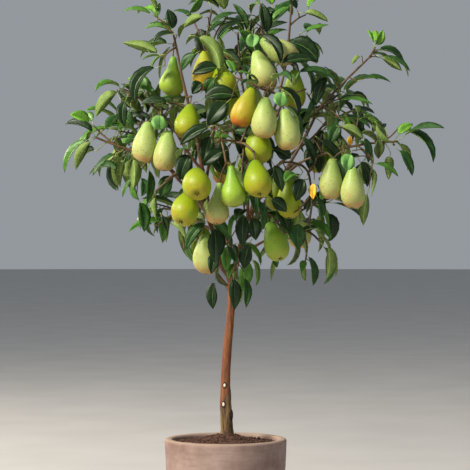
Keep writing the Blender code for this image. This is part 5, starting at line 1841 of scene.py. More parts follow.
    def bough_relief(self, start: Vector, middle: Vector, angle: float, radius: float) -> float:
        """The bark of a bough: a collar at its root, knots at its buds and fine unevenness.

        Args:
            start: the bough's root.
            middle: a point of its line.
            angle: the angle round it.
            radius: its radius there.

        Returns:
            The lift of the bark.
        """
        far = (middle - start).length
        collar = self.collar_rise * radius * math.exp(-((far / self.collar_fade) ** 2))
        knot = self.bud_rise * radius * max(0.0, math.sin(far * TURN / self.bud_pitch)) ** self.bud_power
        grain = noise.noise(level(angle) * self.grain_fine[0] + middle * self.grain_fine[1])
        return collar + knot + self.grain_rise * radius * grain

    def build(self) -> None:
        """Make the trunk, its scars and its boughs."""
        trunk = self.pole("grafted_trunk", self.trunk_sides, self.trunk_cuts)
        self.bend(trunk, self.lines["trunk"], self.trunk_relief)
        Bench.finish(trunk, self.smooth_angle)
        trunk.data.materials.append(TRUNK_FINISH.material())
        stands_for(trunk, "bark", "trunk")
        for scar in self.scars:
            self.heal(scar)
        for rind in Rind:
            self.branch(rind)

    def heal(self, scar: Scar) -> None:
        """Make one healed cut: a flat face in a dark raised ring, both laid round the trunk.

        Args:
            scar: the cut.
        """
        line = self.lines["trunk"]
        share = float(np.interp(scar.height, line.points[:, 2], line.reach) / line.length)
        angle = math.radians(scar.facing)
        out = level(angle)
        lift = line.radius(share) + self.trunk_relief(line.point(share), angle, 0.0) - self.scar_sunk
        turn = out.to_track_quat("Z", "Y").to_matrix().to_4x4()
        place = Matrix.Translation(line.point(share) + out * lift) @ turn
        ring = Bench.new("scar_ring", bpy.ops.mesh.primitive_torus_add, major_segments=self.scar_sides,
                         minor_segments=self.scar_rows, major_radius=self.scar_ring,
                         minor_radius=self.scar_ring_thick)
        cut = Bench.new("scar_face", bpy.ops.mesh.primitive_uv_sphere_add, segments=self.scar_sides,
                        ring_count=self.scar_rows, radius=self.scar_face)
        heap = Heap()
        for model, finish in ((ring, CALLUS_FINISH), (cut, CALLUS_FINISH if scar.dark else CUT_FINISH)):
            points, faces = Bench.take(model)
            laid = points * (scar.wide, scar.tall, self.scar_rise)
            laid[:, 2] -= laid[:, 0] ** 2 / (2.0 * line.radius(share))
            heap.add(laid @ np.array(place.to_3x3()).T + np.array(place.translation), faces, [finish])
        stands_for(heap.piece("pruning_scar_" + scar.name), "bark", "trunk")

    def branch(self, rind: Rind) -> None:
        """Join the boughs of one bark, each with a collar at its root.

        Args:
            rind: the bark.
        """
        heap = Heap()
        names = [bough.name for bough in BOUGHS if bough.rind is rind]
        for name in names:
            line = self.lines[name]
            cuts = max(self.least_cuts, int(line.length / self.bough_step))
            item = self.pole("bough", self.bough_sides, cuts)
            self.bend(item, line, partial(self.bough_relief, Vector(line.points[0])))
            points, faces = Bench.take(item)
            heap.add(points, faces, [BOUGH_FINISHES[rind]])
        stands_for(heap.piece("boughs_%s_bark" % rind.value), "bark", *names)


@dataclass
class Segments:
    """Straight stretches with a radius and an owner each."""

    rows: list = field(default_factory=list)
    owners: list = field(default_factory=list)
    starts: np.ndarray = field(init=False)
    along: np.ndarray = field(init=False)
    radii: np.ndarray = field(init=False)
    square: np.ndarray = field(init=False)
    names: np.ndarray = field(init=False)

    def add_line(self, line: Line, owner: str, radius: Optional[float] = None) -> None:
        """Add each stretch of a line.

        Args:
            line: the line.
            owner: what it belongs to.
            radius: its radius, where it isn't the line's own.
        """
        for index in range(len(line.points) - 1):
            wide = max(line.radii[index:index + 2]) if radius is None else radius
            self.rows.append((*line.points[index], *line.points[index + 1], wide))
            self.owners.append(owner)

    def seal(self) -> None:
        """Turn the rows into arrays, once all are added."""
        table = np.array(self.rows)
        self.starts = table[:, :3]
        self.along = table[:, 3:6] - self.starts
        self.radii = table[:, 6]
        self.square = np.maximum((self.along ** 2).sum(axis=1), TINY)
        self.names = np.array(self.owners)

    def gaps(self, points: np.ndarray) -> np.ndarray:
        """Distance from each point to each stretch's skin.

        Args:
            points: the points, a row each.

        Returns:
            A row for each point and a column for each stretch.
        """
        offset = points[:, None, :] - self.starts[None, :, :]
        share = np.clip((offset * self.along).sum(axis=2) / self.square, 0.0, 1.0)
        return np.linalg.norm(offset - share[:, :, None] * self.along, axis=2) - self.radii


def as_seen(points: np.ndarray) -> np.ndarray:
    """Where points appear to the camera, as X and Z in the plane through the trunk.

    Args:
        points: the points, a row each.

    Returns:
        The points moved along their lines of sight to that plane, with Y at zero.
    """
    eye = np.array(tuple(EYE))
    offset = points - eye
    moved = eye + offset * (-eye[1] / offset[:, 1])[:, None]
    moved[:, 1] = 0.0
    return moved


def on_sight(seen: Sequence[float], depth: float) -> Vector:
    """The point at a depth that appears at an X and Z of the plane through the trunk.

    Args:
        seen: that X and Z.
        depth: the point's Y.

    Returns:
        The point.
    """
    flat = Vector((seen[0], 0.0, seen[1]))
    return EYE + (flat - EYE) * ((depth - EYE.y) / -EYE.y)


def bow_point(root: Vector, tip: Vector, towards: Vector, place: float = 0.5) -> Vector:
    """The point through which a twig bows.

    Args:
        root: the twig's root.
        tip: its tip.
        towards: unit vector to the side where it bows.
        place: where between them it bows.

    Returns:
        The point.
    """
    return root.lerp(tip, place) + towards * BOW * (tip - root).length


def bowed(root: Vector, tip: Vector, towards: Vector, radii: Sequence[float], step: float, rounds: int,
          place: float = 0.5) -> Line:
    """A twig that bows to one side.

    Args:
        root: its root.
        tip: its tip.
        towards: unit vector to the side where it bows.
        radii: its radius at the root and at the tip.
        step: about how far apart its points are.
        rounds: how often they are smoothed.
        place: where between root and tip it bows.

    Returns:
        The twig's line.
    """
    bow = bow_point(root, tip, towards, place)
    return Line.tapered((root, bow, tip), *radii).soft(step, rounds)


def beside(axis: Vector, turn: float, spread: float) -> Vector:
    """Unit vector that leaves an axis at an angle, turned round it.

    Args:
        axis: unit vector along a twig.
        turn: angle round it.
        spread: angle away from it.

    Returns:
        The unit vector.
    """
    side = axis.cross(UP)
    if side.length < WEAK_SIDE:
        side = axis.cross(Vector((0.0, 1.0, 0.0)))
    side = Quaternion(axis, turn) @ side.normalized()
    return (axis * math.cos(spread) + side * math.sin(spread)).normalized()


@dataclass
class Leaf:
    """One leaf: where its stalk is rooted, how it sets out, its size, its droop, its twist, its fold
    along the midrib, the waves of its edge and its tone."""

    root: Vector
    heading: Vector
    length: float
    width: float
    droop: float
    twist: float
    fold: float
    wave: float
    tone: Tone
    down: Optional[Vector] = None
    rounded: bool = False

    def frames(self, shares: np.ndarray) -> tuple:
        """Places and directions at shares of the leaf's length, from root to tip.

        Args:
            shares: shares of the length, rising.

        Returns:
            Arrays of the places, of unit vectors to the side, and of the upper normals.
        """
        down = self.down if self.down is not None else -UP
        down = down - down.dot(self.heading) * self.heading
        if down.length < WEAK_DOWN:
            down = self.heading.orthogonal()
        down.normalize()
        ahead = np.array(tuple(self.heading))
        below = np.array(tuple(down))
        fine = np.linspace(0.0, 1.0, LEAF_STEPS)
        angles = self.droop * fine ** BEND_LATE
        step = self.length / (LEAF_STEPS - 1)
        far, fall = (np.concatenate(([0.0], np.cumsum((slope(angles[:-1]) + slope(angles[1:])) * step / 2.0)))
                     for slope in (np.cos, np.sin))
        angle = np.interp(shares, fine, angles)[:, None]
        places = (np.array(tuple(self.root)) + ahead * np.interp(shares, fine, far)[:, None]
                  + below * np.interp(shares, fine, fall)[:, None])
        across = np.cross(ahead, below)
        normals = ahead * np.sin(angle) - below * np.cos(angle)
        roll = self.twist * (ROOT_TWIST + (1.0 - ROOT_TWIST) * shares)[:, None]
        sides = across * np.cos(roll) + normals * np.sin(roll)
        return places, sides, normals * np.cos(roll) - across * np.sin(roll)

    def turn_towards(self, light: Vector) -> float:
        """Untwist the leaf, and find the twist that makes the upper side of its middle face a direction.

        Args:
            light: the direction.

        Returns:
            The twist.
        """
        self.twist = 0.0
        _, sides, normals = self.frames(np.array([MIDDLE_SHARE]))
        light = np.array(tuple(light))
        roll = math.atan2(-float(sides[0] @ light), float(normals[0] @ light))
        return roll / (ROOT_TWIST + (1.0 - ROOT_TWIST) * MIDDLE_SHARE)

    @classmethod
    def spanning(cls, noted: Noted, depth: float, play: random.Random) -> "Leaf":
        """A leaf between the root and tip that the viewer sees, at a depth.

        Args:
            noted: how the leaf looks.
            depth: added to the noted depth.
            play: the source of its small differences.

        Returns:
            The leaf.
        """
        root = on_sight(noted.root, noted.y + depth)
        tip = on_sight(noted.tip, noted.y + depth + play.uniform(*TIP_PLAY))
        chord = tip - root
        ahead = chord.normalized()
        below = Vector((ahead.z, 0.0, -ahead.x)).normalized()
        if below.z > 0.0:
            below.negate()
        bend = abs(noted.bend)
        below = below if noted.bend > 0.0 else -below
        fine = np.linspace(0.0, 1.0, LEAF_STEPS)
        angles = bend * fine ** BEND_LATE
        far, fall = float(np.cos(angles).mean()), float(np.sin(angles).mean())
        lead = math.atan2(fall, far)
        heading = (ahead * math.cos(lead) - below * math.sin(lead)).normalized()
        leaf = cls(root, heading, chord.length / math.hypot(far, fall), noted.width, bend, 0.0,
                   play.uniform(*NOTED_FOLD), play.uniform(*WAVE), noted.tone,
                   ahead * math.sin(lead) + below * math.cos(lead), noted.tone is Tone.GLAUCOUS)
        leaf.twist = leaf.turn_towards(Vector((0.0, -1.0, 0.0))) * noted.face
        return leaf

    def probe(self) -> tuple[np.ndarray, np.ndarray]:
        """Points of the blade's middle and edges, which are tested for room.

        Returns:
            The middle points, and the edge points of the stretches between them.
        """
        places, sides, _ = self.frames(PROBE_SHARES)
        half = self.width / 2.0 * PROBE_WIDTHS[:, None]
        return places, np.concatenate((places - sides * half, places + sides * half))

    def middle(self) -> np.ndarray:
        """The middle of the blade."""
        return self.probe()[0][MIDDLE_PROBE]

    def tested(self, pairs: int) -> np.ndarray:
        """The middle points with some pairs of edge points, from the second pair on.

        Args:
            pairs: how many pairs.

        Returns:
            The points.
        """
        middles, edges = self.probe()
        second = len(middles) + 1
        return np.concatenate((middles, edges[1:1 + pairs], edges[second:second + pairs]))

    def surface(self) -> BVHTree:
        """The blade as a flat strip, for tests of overlap.

        Returns:
            The strip.
        """
        _, edges = self.probe()
        rows = len(PROBE_SHARES)
        faces = [(row, row + 1, row + 1 + rows, row + rows) for row in range(rows - 1)]
        return BVHTree.FromPolygons(edges.tolist(), faces)


class LeafPattern:
    """A leaf modelled once, flat and one long, which is pressed into the shape of each leaf.

    Its points hold the share of the half width, the share of the length and the lift off the middle.
    Its faces are, by number, the underside, the upper side, the rib above and the rib below.
    """

    rows = (0.0, 0.08, 0.22, 0.38, 0.55, 0.72, 0.87, 1.0)
    columns = (-1.0, -0.54, -0.045, 0.045, 0.54, 1.0)
    lower_columns = (-1.0, -0.05, 0.05, 1.0)
    broad_low, outline_power = 0.75, 0.85
    rib_edge, blade_edge = 0.1, 0.9
    rib_middle = 0.04
    weld = 1e-5
    stalk_line = ((0.0, 0.0, 0.0), (0.0, 0.5, 0.0), (0.0, 1.0, 0.0))
    stalk_radii = (1.4, 1.0, 0.9)
    stalk_sides = 3
    place_digits = 5

    def __init__(self, rounded: bool) -> None:
        """Model the leaf.

        Args:
            rounded: whether its blade is round, and not pointed.
        """
        self.rounded = rounded
        upper = self.layer("upper", self.columns, True)
        lower = self.layer("lower", self.lower_columns, False)
        points, self.faces, self.kinds, self.creases = self.joined(upper, lower)
        self.across, self.share, self.lift = points[:, 0], points[:, 1], points[:, 2]
        stalk = Line(np.array(self.stalk_line), np.array(self.stalk_radii))
        self.stalk_points, self.stalk_faces = tube(stalk, self.stalk_sides)

    def half_width(self, place: float) -> float:
        """Share of the half width.

        Args:
            place: a place along the blade, from 0 to 1.

        Returns:
            The share there.
        """
        if self.rounded:
            return math.sqrt(max(0.0, 1.0 - (2.0 * place - 1.0) ** 2))
        return math.sin(math.pi * place ** self.broad_low) ** self.outline_power

    def layer(self, name: str, columns: Sequence[float], above: bool) -> bpy.types.Object:
        """One side of the blade, from a grid whose rows are drawn in to the outline.

        Args:
            name: the layer's name.
            columns: places of the grid's columns across the blade.
            above: whether it is the upper side.

        Returns:
            The layer.
        """
        item = Bench.new(name, bpy.ops.mesh.primitive_grid_add, x_subdivisions=len(columns) - 1,
                         y_subdivisions=len(self.rows) - 1, size=2.0)
        for vert in item.data.vertices:
            column = columns[round((vert.co.x + 1.0) / 2.0 * (len(columns) - 1))]
            row = self.rows[round((vert.co.y + 1.0) / 2.0 * (len(self.rows) - 1))]
            half = self.half_width(row)
            lift = self.puffed(abs(column)) if above else self.proud(abs(column))
            vert.co = Vector((column * half, PETIOLE_SHARE + (1.0 - PETIOLE_SHARE) * row, lift * half))
        return item

    def puffed(self, out: float) -> float:
        """How high the upper side stands over its edge: full at the middle of each half, sunk at the rib."""
        puffed = self.rib_edge < out < self.blade_edge
        return 1.0 + PUFF / (BLADE_THICK / LEAF_WIDTH) * 0.5 if puffed else 1.0 - out

    def proud(self, out: float) -> float:
        """How far the underside hangs: only the rib stands proud of it."""
        return -RIB_PROUD if out < self.rib_edge else 0.0

    def joined(self, upper: bpy.types.Object, lower: bpy.types.Object) -> tuple:
        """Join the two layers along their edge, the lower one turned over.

        Args:
            upper: the upper layer.
            lower: the lower layer.

        Returns:
            The points, the faces, what kind each face is, and the edges beside the ribs.
        """
        shape = bmesh.new()
        shape.from_mesh(upper.data)
        top = len(shape.faces)
        shape.from_mesh(lower.data)
        shape.faces.ensure_lookup_table()
        bmesh.ops.reverse_faces(shape, faces=shape.faces[top:])
        mark = shape.faces.layers.int.new("kind")
        for index, face in enumerate(shape.faces):
            rib = abs(face.calc_center_median().x) < self.rib_middle
            face[mark] = (2 if rib else 1) if index < top else (3 if rib else 0)
        bmesh.ops.remove_doubles(shape, verts=shape.verts, dist=self.weld)
        shape.verts.index_update()
        points = np.array([tuple(vert.co) for vert in shape.verts])
        faces = [tuple(vert.index for vert in face.verts) for face in shape.faces]
        kinds = [face[mark] for face in shape.faces]
        creases = []
        for edge in shape.edges:
            beside_it = {face[mark] for face in edge.link_faces}
            if beside_it in ({1, 2}, {0, 3}):
                creases.append((edge.verts[0].index, edge.verts[1].index))
        shape.free()
        for item in (upper, lower):
            bpy.data.objects.remove(item, do_unlink=True)
        return points, faces, kinds, creases

    def press(self, leaf: Leaf, heap: Heap, phase: float) -> None:
        """Add one leaf to a heap.

        Args:
            leaf: the leaf.
            heap: where it goes.
            phase: where along the blade its waves start.
        """
        shares, rows = np.unique(np.round(self.share, self.place_digits), return_inverse=True)
        places, sides, normals = (part[rows] for part in leaf.frames(shares))
        half = leaf.width / 2.0
        reach = np.abs(self.across) * half
        ripple = np.sin(self.share * RIPPLES + phase + np.where(self.across < 0.0, RIPPLE_SHIFT, 0.0))
        lift = (self.lift * BLADE_THICK + reach * math.sin(leaf.fold)
                + np.abs(self.across) * ripple * leaf.wave * MM)
        out = self.across * half * math.cos(leaf.fold)
        points = places + sides * out[:, None] + normals * lift[:, None]
        tones = (UNDERSIDE, LEAF_FINISHES[leaf.tone], RIB_FINISH, UNDER_RIB_FINISH)
        marks = np.column_stack((self.across, self.share))
        heap.add(points, self.faces, [tones[kind] for kind in self.kinds], marks, self.creases)
        stalk_shares = self.stalk_points[:, 1] * (PETIOLE_SHARE + PETIOLE_LAP)
        order = np.argsort(stalk_shares, kind="stable")
        places, sides, normals = leaf.frames(stalk_shares[order])
        round_points = self.stalk_points[order]
        stalk = places + (sides * round_points[:, :1] + normals * round_points[:, 2:]) * PETIOLE_RADIUS
        laid = np.empty_like(stalk)
        laid[order] = stalk
        heap.add(laid, self.stalk_faces, [PETIOLE_FINISH])


@dataclass
class PearPattern:
    """A pear modelled once, straight and one long, which is set at each place."""

    knots: tuple
    sides: int = 22
    height_digits: int = 4

    def __post_init__(self) -> None:
        """Model the pear from a ball whose rings are set to the fruit's outline."""
        ball = Bench.new("pear", bpy.ops.mesh.primitive_uv_sphere_add, segments=self.sides,
                         ring_count=len(self.knots) - 1, radius=1.0)
        points, self.faces = Bench.take(ball)
        heights = np.round(points[:, 2], self.height_digits)
        levels = sorted(set(heights), reverse=True)
        places = np.array([self.knots[levels.index(height)] for height in heights])
        flat = np.linalg.norm(points[:, :2], axis=1)
        around = points[:, :2] / np.maximum(flat, TINY)[:, None]
        around[flat < MM] = 0.0
        self.along = places[:, 0]
        self.around = around * places[:, 1:]

    def set(self, pear: Pear, heap: Heap, draw: random.Random) -> None:
        """Add one pear, with its own girth, a bent neck and a slight lean of its shoulders.

        Args:
            pear: the pear.
            heap: where it goes.
            draw: the source of its differences.
        """
        axis = np.array(tuple(pear.axis()))
        side = Vector(axis).orthogonal().normalized()
        side = np.array(tuple(Quaternion(Vector(axis), draw.uniform(0.0, TURN)) @ side))
        other = np.cross(axis, side)
        girth = PEAR_RADIUS * pear.girth * draw.uniform(*GIRTH_PLAY)
        neck = draw.uniform(0.0, NECK_BEND) * (1.0 - self.along) ** 2
        lean = 1.0 + draw.uniform(-SHOULDER_LEAN, SHOULDER_LEAN) * self.around[:, 0]
        along = self.along * lean
        turn = np.arctan2(self.around[:, 1], self.around[:, 0])
        oval = np.sin(2.0 * turn + draw.uniform(0.0, TURN)) * np.sin(math.pi * self.along)
        ribbed = np.sin(PEAR_RIBS * turn + PEAR_TWIST * self.along + draw.uniform(0.0, TURN))
        around = self.around * (1.0 + PEAR_LUMPS * (oval + ribbed))[:, None]
        start = np.array(tuple(pear.along(0.0)))
        points = (start + axis * (along * PEAR_LENGTH)[:, None]
                  + side * (around[:, 0] * girth + neck)[:, None]
                  + other * (around[:, 1] * girth * draw.uniform(*ROUND_PLAY))[:, None])
        marks = np.column_stack((self.around[:, 0], self.along))
        heap.add(points, self.faces, [SKINS[pear.skin]], marks)
        self.calyx(start + axis * PEAR_LENGTH * SEPAL_PLACE, axis, side, other, heap)

    def calyx(self, foot: np.ndarray, axis: np.ndarray, side: np.ndarray, other: np.ndarray,
              heap: Heap) -> None:
        """Dry sepals stand round the hollow at the foot of a pear.

        Args:
            foot: the middle of their ring.
            axis: unit vector down the pear.
            side: unit vector across it.
            other: the second one.
            heap: where they go.
        """
        for index in range(SEPALS):
            angle = TURN * index / SEPALS
            out = side * math.cos(angle) + other * math.sin(angle)
            wide = np.cross(axis, out) * SEPAL_WIDTH
            base = foot + out * SEPAL_RING
            tip = foot + out * SEPAL_RING * SEPAL_SPREAD + axis * SEPAL_LENGTH
            points = np.array([base - wide, base + wide, base + axis * MM - out * MM, tip])
            heap.add(points, ((0, 1, 2), (0, 2, 3), (2, 1, 3), (1, 0, 3)), [CALYX_FINISH])


class Crown:
    """The lines and fruit that share out the crown's room among its masses."""

    def __init__(self, limbs: dict) -> None:
        """Lay out stems and shoots, and note all that takes up room.

        Args:
            limbs: the lines of the trunk and boughs, by name.
        """
        self.limbs = Segments()
        for name, line in limbs.items():
            self.limbs.add_line(line.soft(LIMB_STEP, 0), name)
        self.limbs.seal()
        self.stems = {mass.name: self.stem(mass, limbs[mass.bough]) for mass in MASSES}
        self.shoots = {mass.name: self.shoots_of(mass) for mass in MASSES}
        self.regions = Segments()
        self.fruit = Segments()
        self.views = Segments()
        for mass in MASSES:
            self.note(mass)
        for segments in (self.regions, self.fruit, self.views):
            segments.seal()
        self.noted: list = []
        self.fringe: list = []
        self.sky = np.array(SKY_GAPS + OPEN_AIR)
        self.boxes = {mass.name: self.reach(mass) for mass in MASSES}

    def reach(self, mass: Mass) -> tuple[np.ndarray, np.ndarray]:
        """The lowest and highest corner that a mass may reach, a little past its solid's."""
        low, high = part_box(mass.name)
        return np.array(tuple(low)) - REACH_SLACK, np.array(tuple(high)) + REACH_SLACK

    def stem(self, mass: Mass, bough: Line) -> Line:
        """The stem goes on from inside the tip of its bough, with the same heading.

        Args:
            mass: the mass.
            bough: its bough's line.

        Returns:
            The stem's line.
        """
        tip = bough.point(1.0)
        heading = bough.heading(1.0, TIP_STRETCH)
        start = (tip - heading * STEM_INSIDE, tip + heading * STRAIGHT_START)
        points = (*start, *(Vector(point) for point in mass.stem))
        return Line.tapered(points, bough.radius(1.0), STEM_TIP_RADIUS).soft(STEM_STEP)

    def shoots_of(self, mass: Mass) -> list:
        """Each shoot leaves the stem near its place and bows to its tip.

        Args:
            mass: the mass.

        Returns:
            The shoots' lines.
        """
        stem = self.stems[mass.name]
        knots = [Vector(point) for point in mass.stem]
        knots.insert(0, stem.point(0.0))
        lines = []
        for place, tip in mass.shoots:
            spot = place * (len(knots) - 1)
            index = min(int(spot), len(knots) - 2)
            root = stem.point(stem.nearest(knots[index].lerp(knots[index + 1], spot - index)))
            tip = Vector(tip)
            away = stem.heading(stem.nearest(root))
            lines.append(bowed(root, tip, away, SHOOT_RADIUS, STEM_STEP, 3))
        return lines

    def note(self, mass: Mass) -> None:
        """Note the room of a mass's stem, shoots and pears, and the views that stay clear.

        Args:
            mass: the mass.
        """
        for line in (self.stems[mass.name], *self.shoots[mass.name]):
            self.regions.add_line(line, mass.name, 0.0)
        for cluster in mass.clusters:
            for pear in cluster:
                self.regions.add_line(pear.stretch(REGION_SPAN), mass.name, REGION_FRUIT_RADIUS)
                self.fruit.add_line(pear.stretch(NECK_SPAN), mass.name, PEAR_RADIUS * NECK_GIRTH)
                self.fruit.add_line(pear.stretch(BELLY_SPAN), mass.name, PEAR_RADIUS)
                if pear.shown:
                    side = "front" if pear.y < 0.0 else "back"
                    self.views.add_line(pear.stretch(SHOWN_SPAN), side, VIEW_RADIUS)
        if mass.bare:
            self.views.add_line(self.stems[mass.name], "front", BARE_RADIUS)

    def outside(self, point: np.ndarray) -> float:
        """How far out of the dense middle of the crown a point lies in the view.

        Args:
            point: the point.

        Returns:
            0 inside, up to 1 well outside.
        """
        seen = as_seen(point[None, :])[0]
        far = math.hypot((seen[0] - DENSE_MIDDLE[0]) / DENSE_HALF[0],
                         (seen[2] - DENSE_MIDDLE[1]) / DENSE_HALF[1])
        return min(1.0, max(0.0, (far - 1.0) / DENSE_FADE))

    def airy(self, point: np.ndarray, pitch: float) -> bool:
        """Whether a leaf's middle leaves room to the others that the viewer sees in the outskirts.

        Args:
            point: the leaf's middle.
            pitch: least distance between the middles of leaves inside the crown.

        Returns:
            Whether it does, as a leaf at the back or behind a pear always does.
        """
        share = self.outside(point) * min(1.0, pitch / LEAF_PITCH)
        seen = as_seen(point[None, :])[0]
        if share <= 0.0 or point[1] > FRINGE_BACK or self.veiled(point, seen):
            return True
        return bool(np.linalg.norm(np.array(self.fringe) - seen, axis=1).min() > FRINGE_PITCH * share)

    def veiled(self, point: np.ndarray, seen: np.ndarray) -> bool:
        """Whether a pear that is shown stands before a point.

        Args:
            point: the point.
            seen: its place in the view.

        Returns:
            Whether one does.
        """
        middles = as_seen(self.views.starts + self.views.along * 0.5)
        near = np.linalg.norm((middles - seen)[:, ::2], axis=1) < self.views.radii * VEIL_SPREAD
        return bool((near & (self.views.starts[:, 1] < point[1] - VEIL_DEPTH)).any())

    def keep_shown(self, leaf: Leaf) -> None:
        """Keep other leaves from standing before a noted leaf."""
        places, _, _ = leaf.frames(SHOWN_PLACES)
        self.views.add_line(Line(places, np.zeros(len(places))), "front", leaf.width * SHOWN_SHARE)

    def clear(self, leaf: Leaf, tree: BVHTree) -> bool:
        """Whether a noted leaf is clear of limbs, pears and the other noted leaves.

        Args:
            leaf: the leaf.
            tree: its surface.

        Returns:
            Whether it is.
        """
        points = leaf.tested(NOTED_PAIRS)
        if (self.limbs.gaps(points) < NOTED_GAP).any() or (self.fruit.gaps(points) < NOTED_GAP).any():
            return False
        return not any(tree.overlap(other) for other in self.noted)

    def hides(self, points: np.ndarray) -> bool:
        """Whether points stand before a pear or stem that is shown, or in a gap where the sky shows.

        Args:
            points: the points, a row each.

        Returns:
            Whether any does.
        """
        seen = as_seen(points)
        offset = seen[:, None, ::2] - self.sky[None, :, :2]
        if (np.linalg.norm(offset, axis=2) < self.sky[:, 2]).any():
            return True
        flat = np.array([1.0, 0.0, 1.0])
        starts = as_seen(self.views.starts)
        along = as_seen(self.views.starts + self.views.along) - starts
        square = np.maximum((along ** 2).sum(axis=1), TINY)
        offset = seen[:, None, :] - starts[None, :, :]
        share = np.clip((offset * along).sum(axis=2) / square, 0.0, 1.0)
        front = np.linalg.norm((offset - share[:, :, None] * along) * flat, axis=2) < self.views.radii
        depth = self.views.starts[None, :, 1] - points[:, None, 1]
        front &= (self.views.names == "front")[None, :] & (depth > 0.0) & (depth < VIEW_DEPTH)
        if front.any():
            return True
        offset = (points[:, None, :] - self.views.starts[None, :, :]) * flat
        across = np.linalg.norm(offset - share[:, :, None] * self.views.along * flat, axis=2)
        behind = across < self.views.radii
        behind &= (self.views.names == "back")[None, :] & (depth < 0.0) & (depth > -VIEW_DEPTH)
        return bool(behind.any())

    def free(self, points: np.ndarray, name: str) -> bool:
        """Whether points of a leaf or twig are clear of limbs and pears, and in their own mass's space.

        Args:
            points: the points, a row each.
            name: the mass that they belong to.

        Returns:
            Whether all are free.
        """
        low, high = self.boxes[name]
        if (points[:, 2] < CROWN_FLOOR).any() or (points < low).any() or (points > high).any():
            return False
        if (self.limbs.gaps(points) < LIMB_GAP).any() or (self.fruit.gaps(points) < FRUIT_GAP).any():
            return False
        gaps = self.regions.gaps(points)
        own = gaps[:, self.regions.names == name].min(axis=1)
        other = gaps[:, self.regions.names != name].min(axis=1)
        if (other - own < SPACE_GAP).any():
            return False
        return not self.hides(points)


@dataclass(frozen=True)
class Habit:
    """How a twig bears leaves: their share of the full size, the least distance between their middles,
    how likely a light tone is, and how many a rosette has."""

    size: float = 1.0
    pitch: float = LEAF_PITCH
    light: float = SPUR_LIGHT
    count: int = ROSETTE_LEAVES


